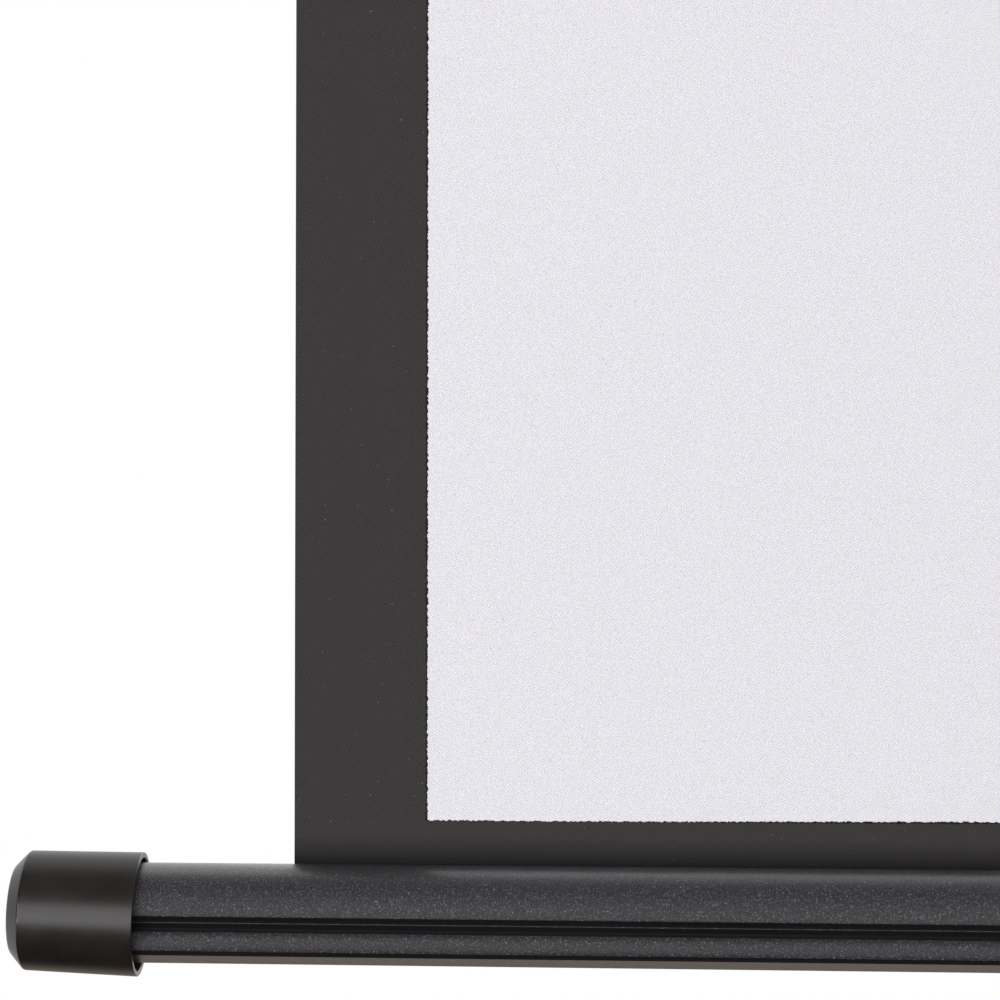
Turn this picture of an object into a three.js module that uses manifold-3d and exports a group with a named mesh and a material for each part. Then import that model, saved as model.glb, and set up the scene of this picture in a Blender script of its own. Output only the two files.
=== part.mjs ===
// A portable projector screen on a tripod: a spring-roller case carried on a telescopic mast,
// with a black-bordered fabric that hangs down to a moulded weight bar with round end caps.
// Millimetres, +Z up, the front of the screen towards -Y, the tripod's feet on Z = 0.
import * as THREE from 'three';
import { mergeVertices } from 'three/addons/utils/BufferGeometryUtils.js';
import Module from 'manifold-3d';

const wasm = await Module();
wasm.setup();

// Driving dimensions of the picture and its fabric
const imageWidth = 1219;
const imageHeight = 914;
const sideBorder = 30;
const bottomBorder = 9.5;
const topDrop = 60.4;
const backingThickness = 0.3;
const coatingThickness = 0.15;
const laminateGap = 0.05;

// Clearances: between touching flat faces, curved seats, running fits, and what a cut overruns
const seatGap = 0.1;
const fitGap = 0.3;
const runGap = 0.5;
const overrun = 5;
const weldDistance = 1e-4;

// Weight bar: an open barrel over a moulded lower lobe, and its round end caps
const barHeight = 22.1;
const barForward = 4;
const barrelRadius = 10;
const barHollowRadius = 6.6;
const barHollowBack = 1;
const barHollowRise = 1;
const barSlotWidth = 2;
const hemRodRise = 0.6;
const barExposedLength = 34.05;
const barAxisHeight = 830.35;
const hemRodRadius = 2.4;
const hemFold = 0.5;
const barCapLength = 25.4;
const barCapRimRadius = 13.8;
const barCapEndRadius = 13.45;
const barCapWall = 1.2;
const barCapEndRise = 3.2;
const barCapFaceRadius = 10.3;
const barCapFlatRadius = 9.3;
const barCapFloor = 1.5;
const barCapRound = 0.7;
const barCapSpigotLength = 18;
const barCapRise = 0.2;
const barCapDroop = THREE.MathUtils.degToRad(2.4);
const barCapSlew = THREE.MathUtils.degToRad(5);

// Pull handle under the bar
const pullHandleSpan = 44;
const pullHandleDrop = 34;
const pullHandleWire = 2;
const pullPlateThickness = 3;
const pullPlateWidth = 9;
const pullLugThickness = 4;
const pullLugDrop = 8;

// Case and its end caps
const caseDepth = 56;
const caseHeight = 58;
const caseCorner = 9;
const caseWall = 1.6;
const caseOverhang = 55;
const caseSlotWidth = 8;
const caseCapPlate = 8;
const caseCapSkirt = 2;
const caseCapLap = 14;
const caseCapBossRadius = 9;
const caseCapBossLength = 16;

// Roller, its plugs, the spring and the ratchet inside it
const rollerRadius = 13;
const rollerWall = 1.2;
const rollerOverhang = 12;
const wrapThickness = 1;
const plugLength = 22;
const plugFlange = 3;
const idlePinRadius = 4;
const spindleRadius = 4.5;
const spindleReach = 290;
const springWire = 1.8;
const springRadius = 9;
const springCurls = 14;
const springLength = 210;
const springAnchorLength = 20;
const springStepsPerCurl = 8;
const ratchetRadius = 6.8;
const ratchetNotchDepth = 1.6;
const ratchetWidth = 5;
const pawlThickness = 2;
const pawlPinRadius = 1.2;
const pawlPivotSetback = 6;
const pawlTipReach = 2;

// Mast: two telescoping tubes, the clamp, the head and its swivel stud
const outerTubeRadius = 16;
const innerTubeRadius = 12.5;
const tubeWall = 1.5;
const mastTravel = 380;
const tubeOverlap = 150;
const outerTubeFootHeight = 90;
const clampWall = 6;
const clampHeight = 52;
const clampLip = 4;
const glideLength = 40;
const bushLength = 22;
const headRadius = 17;
const headDrop = 55;
const headRise = 18;
const headBossWidth = 30;
const headBossHeight = 34;
const tubeSeatDrop = 22;
const swivelPlateWidth = 110;
const swivelPlateHeight = 44;
const swivelPlateThickness = 5;
const studRadius = 5;
const nutRadius = 9;
const nutThickness = 8;
const mastStandOff = 62;

// Carry handle on top of the case
const handleSpan = 124;
const handleReach = 32;
const handleWire = 3;
const handleGripRadius = 7;
const handleGripLength = 84;
const handlePivotRise = 9;
const handlePivotSetback = 14;
const handleLugWidth = 12;
const handleLugThickness = 8;

// Tripod: hub, three legs, their braces and the sliding collar
const legOpenAngle = THREE.MathUtils.degToRad(40);
const legLength = 600;
const legTubeRadius = 9.5;
const legTubeWall = 1.4;
const legOffset = 18;
const legTopRise = 10;
const pivotRadius = 36;
const braceLength = 150;
const braceThickness = 6;
const braceEndRadius = 6;
const channelWall = 1.6;
const channelLip = 6;
const hubWall = 6;
const hubHeight = 40;
const earThickness = 4;
const earRadius = 7;
const collarHeight = 30;
const pinRadius = 2.5;
const pinHeadRadius = 4.2;
const pinHeadLength = 1.8;
const footRadius = 13;
const footSocketDepth = 26;
const footSoleDepth = 1.2;
const footPlugLength = 24;

// Clamping knobs
const knobRadius = 16;
const knobLobeDepth = 2.2;
const knobLobes = 6;
const knobThickness = 13;
const knobNeckRadius = 8;
const knobNeckLength = 8;
const knobStudRadius = 3.5;

// Facet counts
const tubeFacets = 20;
const barFacets = 24;
const smallFacets = 10;
const bendSteps = 5;

// Sizes worked out from the driving dimensions
const fabricWidth = imageWidth + 2 * sideBorder;
const fabricHalf = fabricWidth / 2;
const barTop = barHeight / 2;
const fabricDrop = bottomBorder + imageHeight + topDrop;
const caseBottomHeight = barAxisHeight + barTop + fabricDrop;
const caseAxisHeight = caseBottomHeight + caseHeight / 2;
const wrapRadius = rollerRadius + wrapThickness;
const fabricOffset = wrapRadius + runGap;
const fabricY = -mastStandOff - fabricOffset;
const caseHalf = fabricHalf + caseOverhang;
const headBottomHeight = caseAxisHeight - headDrop;
const outerTubeTop = headBottomHeight - mastTravel - clampLip - 2 * runGap;
const innerTubeTop = caseAxisHeight - tubeSeatDrop;
const innerTubeBottom = outerTubeTop - tubeOverlap;
const tubeInnerRadius = outerTubeRadius - tubeWall;
const hubPivotHeight =
  legLength * Math.cos(legOpenAngle) - legOffset * Math.sin(legOpenAngle) + footRadius - footSoleDepth;
const collarHeightOpen = hubPivotHeight - 2 * braceLength * Math.cos(legOpenAngle);
const channelWidth = braceThickness + 2 * (fitGap + channelWall);
const hubEarSpan = channelWidth + 2 * fitGap;
const collarEarSpan = braceThickness + 2 * fitGap;
const legAzimuths = [90, 210, 330].map(THREE.MathUtils.degToRad);

const screen = new THREE.Group();

// Finishes
const finish = (color, roughness, metalness) =>
  new THREE.MeshStandardMaterial({ color, roughness, metalness });
const powderCoat = finish(0x3f3c40, 0.55, 0.3);
const blackPlastic = finish(0x141416, 0.35, 0);
const blackFabric = finish(0x3a3735, 0.9, 0);
const whiteCoating = finish(0xefedf3, 0.8, 0);
const blackTube = finish(0x1c1c1e, 0.4, 0.4);
const zincSteel = finish(0xb9bbbd, 0.35, 0.9);
const springSteel = finish(0x8c8f94, 0.3, 0.9);
const rubber = finish(0x101011, 0.85, 0);
const rollerSteel = finish(0xa7a9ab, 0.4, 0.9);

// Keeps only positions, joins shared corners and turns the faces outward
function closed(geometry) {
  const bare = geometry.index ? geometry.toNonIndexed() : geometry.clone();
  for (const name of ['normal', 'uv', 'color']) bare.deleteAttribute(name);
  const joined = mergeVertices(bare, weldDistance);
  const position = joined.attributes.position;
  const index = Array.from(joined.index.array);
  const kept = [];
  let volume = 0;
  const [a, b, c] = [new THREE.Vector3(), new THREE.Vector3(), new THREE.Vector3()];
  for (let i = 0; i < index.length; i += 3) {
    const [p, q, r] = index.slice(i, i + 3);
    if (p === q || q === r || r === p) continue;
    a.fromBufferAttribute(position, p);
    b.fromBufferAttribute(position, q);
    c.fromBufferAttribute(position, r);
    volume += a.dot(b.cross(c));
    kept.push(p, q, r);
  }
  if (volume < 0) kept.reverse();
  joined.setIndex(kept);
  return joined;
}

function toSolid(geometry) {
  const body = closed(geometry);
  return new wasm.Manifold(new wasm.Mesh({
    numProp: 3,
    vertProperties: new Float32Array(body.attributes.position.array),
    triVerts: new Uint32Array(body.index.array),
  }));
}

function fromSolid(solid) {
  const body = solid.getMesh();
  const geometry = new THREE.BufferGeometry();
  geometry.setAttribute('position', new THREE.BufferAttribute(body.vertProperties, 3));
  geometry.setIndex(new THREE.BufferAttribute(body.triVerts, 1));
  return geometry;
}

const join = (...parts) => fromSolid(parts.map(toSolid).reduce((sum, part) => sum.add(part)));
const cut = (part, ...tools) =>
  fromSolid(tools.map(toSolid).reduce((rest, tool) => rest.subtract(tool), toSolid(part)));

// A box given by its two corners
function block(x0, x1, y0, y1, z0, z1) {
  return new THREE.BoxGeometry(x1 - x0, y1 - y0, z1 - z0)
    .translate((x0 + x1) / 2, (y0 + y1) / 2, (z0 + z1) / 2);
}

// A turned piece about Z: the profile lists [radius, height] and starts and ends on the axis
function turned(profile, facets = tubeFacets) {
  const points = profile.map(([radius, height]) => new THREE.Vector2(radius, height));
  return closed(new THREE.LatheGeometry(points, facets).rotateX(Math.PI / 2));
}

// A ring about Z: its profile closes on itself
function ring(inner, outer, z0, z1, facets = tubeFacets) {
  return turned([[inner, z0], [outer, z0], [outer, z1], [inner, z1], [inner, z0]], facets);
}

function rod(radius, z0, z1, facets = smallFacets) {
  return turned([[0, z0], [radius, z0], [radius, z1], [0, z1]], facets);
}

// Turns what is built along Z so that it lies along X or Y
const alongX = (geometry) => geometry.rotateY(Math.PI / 2);
const alongY = (geometry) => geometry.rotateX(-Math.PI / 2);

// An outline in Y and Z carried along X
function extrudedX(points, x0, x1, holes = []) {
  const shape = new THREE.Shape(points.map(([y, z]) => new THREE.Vector2(y, z)));
  for (const hole of holes) shape.holes.push(new THREE.Path(hole.map(([y, z]) => new THREE.Vector2(y, z))));
  const geometry = new THREE.ExtrudeGeometry(shape, { depth: x1 - x0, bevelEnabled: false });
  const lie = new THREE.Matrix4().makeBasis(
    new THREE.Vector3(0, 1, 0), new THREE.Vector3(0, 0, 1), new THREE.Vector3(1, 0, 0));
  return closed(geometry.applyMatrix4(lie).translate(x0, 0, 0));
}

// An outline in X and Z carried along Y
function extrudedY(points, y0, y1) {
  const shape = new THREE.Shape(points.map(([x, z]) => new THREE.Vector2(x, z)));
  const geometry = new THREE.ExtrudeGeometry(shape, { depth: y1 - y0, bevelEnabled: false });
  return closed(geometry.rotateX(Math.PI / 2).translate(0, y1, 0));
}

function arc(centreY, centreZ, radius, from, to, steps) {
  return Array.from({ length: steps + 1 }, (_, i) => {
    const angle = from + ((to - from) * i) / steps;
    return [centreY + radius * Math.cos(angle), centreZ + radius * Math.sin(angle)];
  });
}

// A rectangle with round corners, anticlockwise from the right end of its lower side
function roundRect(halfY, halfZ, corner, steps = 4) {
  const centres = [[1, -1], [1, 1], [-1, 1], [-1, -1]];
  return centres.flatMap(([sy, sz], i) =>
    arc(sy * (halfY - corner), sz * (halfZ - corner), corner,
      (i - 1) * Math.PI / 2, i * Math.PI / 2, steps));
}

function add(parent, name, geometry, material, place = [0, 0, 0]) {
  const piece = new THREE.Mesh(closed(geometry), material);
  piece.name = name;
  piece.position.set(...place);
  parent.add(piece);
  return piece;
}

// A path of runs, each walked in its own count of steps, so that every run starts on a step
class RunPath extends THREE.CurvePath {
  firstSteps = [];

  steps = 0;

  addRun(curve, count) {
    this.add(curve);
    this.firstSteps.push(this.steps);
    this.steps += count;
  }

  getPoint(t) {
    const at = t * this.steps;
    const run = this.firstSteps.findLastIndex((first) => first <= at);
    const next = this.firstSteps[run + 1] ?? this.steps;
    return this.curves[run].getPoint((at - this.firstSteps[run]) / (next - this.firstSteps[run]));
  }

  getUtoTmapping(u) {
    return u;
  }
}

// A bent wire: straight runs joined by round corners, as one tube of eight sides
function wire(corners, radius, bend) {
  const path = new RunPath();
  const points = corners.map((corner) => new THREE.Vector3(...corner));
  let start = points[0];
  for (let i = 1; i < points.length - 1; i += 1) {
    const before = points[i].clone().lerp(points[i - 1], bend / points[i].distanceTo(points[i - 1]));
    const after = points[i].clone().lerp(points[i + 1], bend / points[i].distanceTo(points[i + 1]));
    path.addRun(new THREE.LineCurve3(start, before), 1);
    path.addRun(new THREE.QuadraticBezierCurve3(before, points[i], after), bendSteps);
    start = after;
  }
  path.addRun(new THREE.LineCurve3(start, points[points.length - 1]), 1);
  const section = new THREE.Shape(arc(0, 0, radius, 0, 2 * Math.PI, 8).slice(0, 8)
    .map(([x, y]) => new THREE.Vector2(x, y)));
  return closed(new THREE.ExtrudeGeometry(section, { steps: path.steps, extrudePath: path }));
}

// Weight bar section: the depth and drop of its lower moulding, as shares of the bar's height
const lowerMouldingShares = [
  [0.430, 0.492], [0.384, 0.534], [0.403, 0.542], [0.403, 0.551],
  [0.352, 0.566], [0.330, 0.594], [0.330, 0.626], [0.352, 0.659],
  [0.386, 0.692], [0.401, 0.738], [0.401, 0.796], [0.386, 0.837],
  [0.345, 0.873], [0.225, 0.932], [0.115, 0.986], [0.095, 1],
];
const barrelEndShare = 0.475;

function weightBar() {
  const bar = new THREE.Group();
  bar.position.set(0, fabricY - barForward, barAxisHeight);
  screen.add(bar);
  const barrelRise = barTop - barrelRadius;
  const slotHalf = barSlotWidth / 2;

  // The slot lies behind the crest; a face runs from its lip down to the middle of the underside
  const underAngle = Math.asin((barrelRise - barTop + barrelEndShare * barHeight) / barrelRadius);
  const moulding = lowerMouldingShares.map(([depth, drop]) => [-depth * barHeight, barTop - drop * barHeight]);
  const face = (lip) => arc(0, barrelRise, barrelRadius,
    Math.PI / 2 + Math.asin(lip / barrelRadius), Math.PI + underAngle, 12).concat(moulding);
  const front = face(slotHalf - barForward);
  const back = face(slotHalf + barForward).map(([y, z]) => [-y, z]).reverse();
  const mouth = (lip) => Math.PI / 2 - Math.asin((lip - barHollowBack) / barHollowRadius);
  const hollow = arc(barHollowBack, barrelRise + barHollowRise, barHollowRadius,
    mouth(barForward + slotHalf), mouth(barForward - slotHalf) - 2 * Math.PI, 20);
  const floorTilt = barHeight * Math.sin(barCapDroop) / 2;
  const floorSlew = barrelRadius * Math.sin(barCapSlew);
  const barHalf =
    fabricHalf + barExposedLength + barCapLength - barCapFloor - floorTilt - floorSlew - fitGap;
  add(bar, 'weight_bar', extrudedX([...front, ...back, ...hollow], -barHalf, barHalf), powderCoat);

  // The fabric's hem goes through the slot and round a rod that can't come back out
  const loopInner = hemRodRadius + fitGap;
  const loopOuter = loopInner + hemFold;
  const loopCentre = barrelRise + barHollowRise + hemRodRise;
  const stripHalf = (backingThickness + coatingThickness) / 2;
  const neckAngle = Math.asin(stripHalf / loopOuter);
  const stripTop = barTop + bottomBorder;
  const hem = [[barForward - stripHalf, stripTop],
    ...arc(barForward, loopCentre, loopOuter, Math.PI / 2 + neckAngle, 5 * Math.PI / 2 - neckAngle, 14),
    [barForward + stripHalf, stripTop]];
  const pocket = arc(barForward, loopCentre, loopInner, 0, 2 * Math.PI, smallFacets).slice(0, smallFacets);
  add(bar, 'hem_strip', extrudedX(hem, -fabricHalf, fabricHalf, [pocket]), blackFabric);
  add(bar, 'hem_rod', alongX(rod(hemRodRadius, -fabricHalf, fabricHalf)), zincSteel,
    [0, barForward, loopCentre]);

  // Each cap is a drafted cup that sits a little askew, on a spigot inside the barrel
  const rimX = fabricHalf + barExposedLength;
  const endX = rimX + barCapLength;
  for (const [name, side] of [['bar_cap_left', -1], ['bar_cap_right', 1]]) {
    const floor = -barCapFloor;
    const cup = turned([
      [0, barCapEndRise], [barCapFlatRadius, barCapEndRise],
      [barCapFaceRadius, barCapEndRise - barCapRound],
      [barCapEndRadius - barCapRound, barCapEndRise / 2], [barCapEndRadius, 0],
      [barCapRimRadius, -barCapLength], [barCapRimRadius - barCapWall, -barCapLength],
      [barCapEndRadius - barCapWall, floor], [0, floor],
    ], barFacets);
    alongX(cup).rotateY(-barCapDroop).rotateZ(barCapSlew)
      .translate(0, barCapLength * Math.sin(barCapSlew) / 2, barCapRise);
    const spigot = alongX(rod(barHollowRadius - runGap, -barCapSpigotLength, barCapEndRise / 2, 16))
      .translate(0, side * barHollowBack, barrelRise + barHollowRise);
    const cap = join(cup, spigot);
    if (side < 0) cap.rotateZ(Math.PI);
    add(bar, name, cap, blackPlastic, [side * endX, 0, 0]);
  }

  pullHandle(bar);
}

function pullHandle(bar) {
  const plateTop = -barHeight / 2 - seatGap;
  const plateBottom = plateTop - pullPlateThickness;
  const pivotZ = plateBottom - pullLugDrop / 2;
  const lugX = pullHandleSpan / 2;
  const plateHalf = lugX + pullLugThickness + pullPlateThickness;
  const holeRadius = pullHandleWire + fitGap;
  const lugs = [-1, 1].map((side) => {
    const [x0, x1] = [side * lugX, side * (lugX + pullLugThickness)].sort((a, b) => a - b);
    return block(x0, x1, -pullPlateWidth / 2, pullPlateWidth / 2, plateBottom - pullLugDrop, plateTop);
  });
  const plate = block(-plateHalf, plateHalf, -pullPlateWidth / 2, pullPlateWidth / 2,
    plateBottom, plateTop);
  const bore = alongX(rod(holeRadius, -plateHalf, plateHalf)).translate(0, 0, pivotZ);
  add(bar, 'pull_bracket', cut(join(plate, ...lugs), bore), blackPlastic);

  const inner = lugX - pullHandleWire - fitGap;
  const outer = lugX + pullLugThickness + pullHandleWire;
  add(bar, 'pull_handle', wire([
    [-outer, 0, 0], [-inner, 0, 0], [-inner, 0, -pullHandleDrop],
    [inner, 0, -pullHandleDrop], [inner, 0, 0], [outer, 0, 0],
  ], pullHandleWire, pullHandleWire), zincSteel, [0, 0, pivotZ]);
}

// Two flat sheets: the black-backed cloth and the white coated area on its front
function fabric() {
  const bottom = barAxisHeight + barTop + bottomBorder + fitGap;
  const back = fabricY + backingThickness / 2;
  const front = back - backingThickness;
  add(screen, 'screen_backing',
    block(-fabricHalf, fabricHalf, front, back, bottom, caseAxisHeight), blackFabric);
  const imageBottom = barAxisHeight + barTop + bottomBorder;
  add(screen, 'projection_face', block(-imageWidth / 2, imageWidth / 2,
    front - laminateGap - coatingThickness, front - laminateGap,
    imageBottom + fitGap, imageBottom + imageHeight), whiteCoating);
}

function caseAssembly() {
  const box = new THREE.Group();
  box.position.set(0, -mastStandOff, caseAxisHeight);
  screen.add(box);
  const [halfY, halfZ] = [caseDepth / 2, caseHeight / 2];

  // The shell is bent round from one lip of the fabric slot to the other
  const [slotFront, slotBack] = [-fabricOffset - caseSlotWidth / 2, -fabricOffset + caseSlotWidth / 2];
  const outer = roundRect(halfY, halfZ, caseCorner);
  const inner = roundRect(halfY - caseWall, halfZ - caseWall, caseCorner - caseWall).reverse();
  const shell = [[slotBack, -halfZ], ...outer, [slotFront, -halfZ],
    [slotFront, caseWall - halfZ], ...inner, [slotBack, caseWall - halfZ]];
  add(box, 'case_shell', extrudedX(shell, -caseHalf, caseHalf), powderCoat);

  // End caps: a plate, a skirt lapped over the shell and a boss that holds the roller's pin
  const rollerHalf = fabricHalf + rollerOverhang;
  for (const [name, side] of [['case_cap_left', -1], ['case_cap_right', 1]]) {
    const cover = extrudedX(
      roundRect(halfY + caseCapSkirt, halfZ + caseCapSkirt, caseCorner + caseCapSkirt),
      -caseCapLap, caseCapPlate);
    const pocket = extrudedX(
      roundRect(halfY + fitGap, halfZ + fitGap, caseCorner + fitGap), -caseCapLap - overrun, 0);
    const boss = alongX(rod(caseCapBossRadius, -caseCapBossLength, caseCapPlate / 2, 16));
    const pinHole = side < 0 ? idlePinRadius : spindleRadius;
    const bore = alongX(rod(pinHole + fitGap, -caseCapBossLength - overrun, caseCapPlate / 2));
    const cap = cut(join(cut(cover, pocket), boss), bore);
    if (side < 0) cap.rotateZ(Math.PI);
    add(box, name, cap, blackPlastic, [side * (caseHalf + fitGap), 0, 0]);
  }

  roller(box, rollerHalf);
  swivelPlate(box, halfY);
  carryHandle(box, halfZ);
}

function roller(box, rollerHalf) {
  add(box, 'roller_tube', alongX(ring(rollerRadius - rollerWall, rollerRadius, -rollerHalf, rollerHalf)),
    rollerSteel);
  add(box, 'fabric_wraps', alongX(ring(rollerRadius + seatGap, wrapRadius, -fabricHalf, fabricHalf)),
    blackFabric);

  // Plugs in the tube's ends run on the idle pin and on the spring's spindle
  const plugRadius = rollerRadius - rollerWall - fitGap;
  for (const [name, side, shaft] of [['roller_plug_left', -1, idlePinRadius],
    ['roller_plug_right', 1, spindleRadius]]) {
    const bore = shaft + fitGap;
    const plug = alongX(turned([
      [bore, -plugLength], [plugRadius, -plugLength], [plugRadius, fitGap], [rollerRadius, fitGap],
      [rollerRadius, plugFlange], [bore, plugFlange], [bore, -plugLength],
    ], barFacets));
    if (side < 0) plug.rotateZ(Math.PI);
    add(box, name, plug, blackPlastic, [side * rollerHalf, 0, 0]);
  }

  const pinOuter = caseHalf + caseCapPlate / 2 - fitGap;
  add(box, 'idle_pin', alongX(rod(idlePinRadius, -pinOuter, plugLength - rollerHalf)), zincSteel);
  const spindleInner = rollerHalf - spindleReach;
  add(box, 'spring_spindle', alongX(rod(spindleRadius, spindleInner, pinOuter)), zincSteel);

  // The torsion spring winds round the spindle, inside the tube
  const springStart = spindleInner + plugLength;
  add(box, 'torsion_spring', spring(springStart), springSteel);
  const anchorRadius =
    springRadius * Math.cos(Math.PI / springStepsPerCurl) - springWire / 2 - fitGap;
  const anchor = alongX(ring(spindleRadius + fitGap, anchorRadius, -springWire, springAnchorLength));
  add(box, 'spring_anchor', anchor, blackPlastic, [springStart, 0, 0]);

  // The ratchet wheel is fast on the spindle; the pawl turns with the roller's plug
  const wheelX = rollerHalf - plugLength - ratchetWidth - runGap * 2;
  const notch = block(-overrun, ratchetWidth + overrun, -pawlTipReach - runGap,
    pawlTipReach * 2, ratchetRadius - ratchetNotchDepth, ratchetRadius + overrun);
  const wheel = alongX(ring(spindleRadius + fitGap, ratchetRadius, 0, ratchetWidth));
  add(box, 'ratchet_wheel', cut(wheel, notch, notch.clone().rotateX(Math.PI)), zincSteel, [wheelX, 0, 0]);

  const pivotZ = ratchetRadius + runGap + pawlThickness / 2;
  const arm = block(0, ratchetWidth, -pawlPivotSetback - pawlTipReach, pawlThickness / 2,
    -pawlThickness / 2, pawlThickness / 2);
  const pin = alongX(rod(pawlPinRadius, 0, ratchetWidth + 2 * runGap - fitGap));
  add(box, 'ratchet_pawl', join(arm, pin), springSteel, [wheelX, pawlPivotSetback, pivotZ]);
}

// A helix of five-sided wire
function spring(start) {
  const steps = springCurls * springStepsPerCurl;
  const points = Array.from({ length: steps + 1 }, (_, i) => {
    const angle = (2 * Math.PI * i) / springStepsPerCurl;
    const along = start + (springLength * i) / steps;
    return new THREE.Vector3(along, springRadius * Math.cos(angle), springRadius * Math.sin(angle));
  });
  const sides = 5;
  const position = [];
  for (const [i, point] of points.entries()) {
    const angle = (2 * Math.PI * i) / springStepsPerCurl;
    const out = new THREE.Vector3(0, Math.cos(angle), Math.sin(angle));
    const side = new THREE.Vector3(1, 0, 0);
    for (let k = 0; k < sides; k += 1) {
      const turn = (2 * Math.PI * k) / sides;
      position.push(...point.clone()
        .addScaledVector(out, (springWire / 2) * Math.cos(turn))
        .addScaledVector(side, (springWire / 2) * Math.sin(turn)).toArray());
    }
  }
  const index = [];
  for (let i = 0; i < points.length - 1; i += 1) {
    for (let k = 0; k < sides; k += 1) {
      const [a, b] = [i * sides + k, i * sides + ((k + 1) % sides)];
      index.push(a, b, a + sides, b, b + sides, a + sides);
    }
  }
  const last = (points.length - 1) * sides;
  for (let k = 1; k < sides - 1; k += 1) {
    index.push(0, k + 1, k, last, last + k, last + k + 1);
  }
  const geometry = new THREE.BufferGeometry();
  geometry.setAttribute('position', new THREE.Float32BufferAttribute(position, 3));
  geometry.setIndex(index);
  return geometry;
}

// The plate on the back of the case carries the stud that turns in the mast's head
function swivelPlate(box, halfY) {
  const plateFront = halfY + seatGap;
  const plateBack = plateFront + swivelPlateThickness;
  const plate = block(-swivelPlateWidth / 2, swivelPlateWidth / 2, plateFront, plateBack,
    -swivelPlateHeight / 2, swivelPlateHeight / 2);
  const studEnd = mastStandOff + headRadius + nutThickness + 2 * runGap;
  const stud = alongY(rod(studRadius, 0, studEnd - plateFront, 16)).translate(0, plateFront, 0);
  add(box, 'swivel_plate', join(plate, stud), zincSteel);
  const nut = alongY(cut(rod(nutRadius, 0, nutThickness, 6),
    rod(studRadius + fitGap, -overrun, nutThickness + overrun, 16)));
  add(box, 'swivel_nut', nut, zincSteel, [0, mastStandOff + headRadius + 2 * fitGap, 0]);
}

function carryHandle(box, halfZ) {
  const pivotZ = halfZ + handlePivotRise;
  const holeRadius = handleWire + fitGap;
  const lugInner = handleSpan / 2;
  for (const [name, side] of [['handle_lug_left', -1], ['handle_lug_right', 1]]) {
    const [x0, x1] = [side * lugInner, side * (lugInner + handleLugThickness)].sort((a, b) => a - b);
    const lug = block(x0, x1, handlePivotSetback - handleLugWidth / 2,
      Math.min(handlePivotSetback + handleLugWidth / 2, caseDepth / 2), halfZ + seatGap,
      pivotZ + handleLugWidth / 2);
    const bore = alongX(rod(holeRadius, x0 - overrun, x1 + overrun))
      .translate(0, handlePivotSetback, pivotZ);
    add(box, name, cut(lug, bore), blackPlastic);
  }
  const bend = 2 * handleWire;
  const inner = lugInner - bend - fitGap;
  const outer = lugInner + handleLugThickness + handleWire;
  const handle = wire([
    [-outer, 0, 0], [-inner, 0, 0], [-inner, -handleReach, 0],
    [inner, -handleReach, 0], [inner, 0, 0], [outer, 0, 0],
  ], handleWire, bend);
  const place = [0, handlePivotSetback, pivotZ];
  add(box, 'carry_handle', handle, blackTube, place);
  const grip = alongX(ring(handleWire + fitGap, handleGripRadius,
    -handleGripLength / 2, handleGripLength / 2, 16)).translate(0, -handleReach, 0);
  add(box, 'handle_grip', grip, rubber, place);
}

function mast() {
  const tubeBore = innerTubeRadius - tubeWall;
  add(screen, 'inner_tube', ring(tubeBore, innerTubeRadius, innerTubeBottom, innerTubeTop), zincSteel);

  // The glide is a plug in the inner tube's foot with a sleeve as wide as the outer tube's bore
  const sleeve = tubeInnerRadius - fitGap;
  add(screen, 'inner_tube_glide', turned([
    [0, -glideLength / 2], [sleeve, -glideLength / 2], [sleeve, -fitGap], [tubeBore - fitGap, -fitGap],
    [tubeBore - fitGap, glideLength / 2], [0, glideLength / 2],
  ]), blackPlastic, [0, 0, innerTubeBottom]);

  // Head: a socket on the tube's top, with a boss towards the case and a flat for the nut
  const socket = rod(headRadius, -headDrop, headRise, tubeFacets);
  const plateBack = caseDepth / 2 + seatGap + swivelPlateThickness;
  const bossFront = plateBack - mastStandOff + runGap;
  const boss = block(-headBossWidth / 2, headBossWidth / 2, bossFront, headRadius,
    -headBossHeight / 2, headBossHeight / 2);
  const tubeHole = rod(innerTubeRadius + fitGap, -headDrop - overrun, fitGap - tubeSeatDrop, tubeFacets);
  const studHole = alongY(rod(studRadius + fitGap, bossFront - overrun, headRadius + overrun, 16));
  add(screen, 'mast_head', cut(join(socket, boss), tubeHole, studHole), blackPlastic,
    [0, 0, caseAxisHeight]);
}

// A star knob along -Y with its neck and stud; tip is how far the stud reaches past the seat
function knob(tip) {
  const outline = Array.from({ length: knobLobes * 6 }, (_, i) => {
    const angle = (2 * Math.PI * i) / (knobLobes * 6);
    const radius = knobRadius - knobLobeDepth * (1 - Math.cos(knobLobes * angle)) / 2;
    return new THREE.Vector2(radius * Math.cos(angle), radius * Math.sin(angle));
  });
  const star = new THREE.ExtrudeGeometry(new THREE.Shape(outline), {
    depth: knobThickness, bevelEnabled: false,
  }).translate(0, 0, knobNeckLength);
  const neck = rod(knobNeckRadius, 0, knobNeckLength + knobThickness / 2, 16);
  const stud = rod(knobStudRadius, -tip, knobNeckLength, smallFacets);
  return join(star, neck, stud);
}

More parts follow.
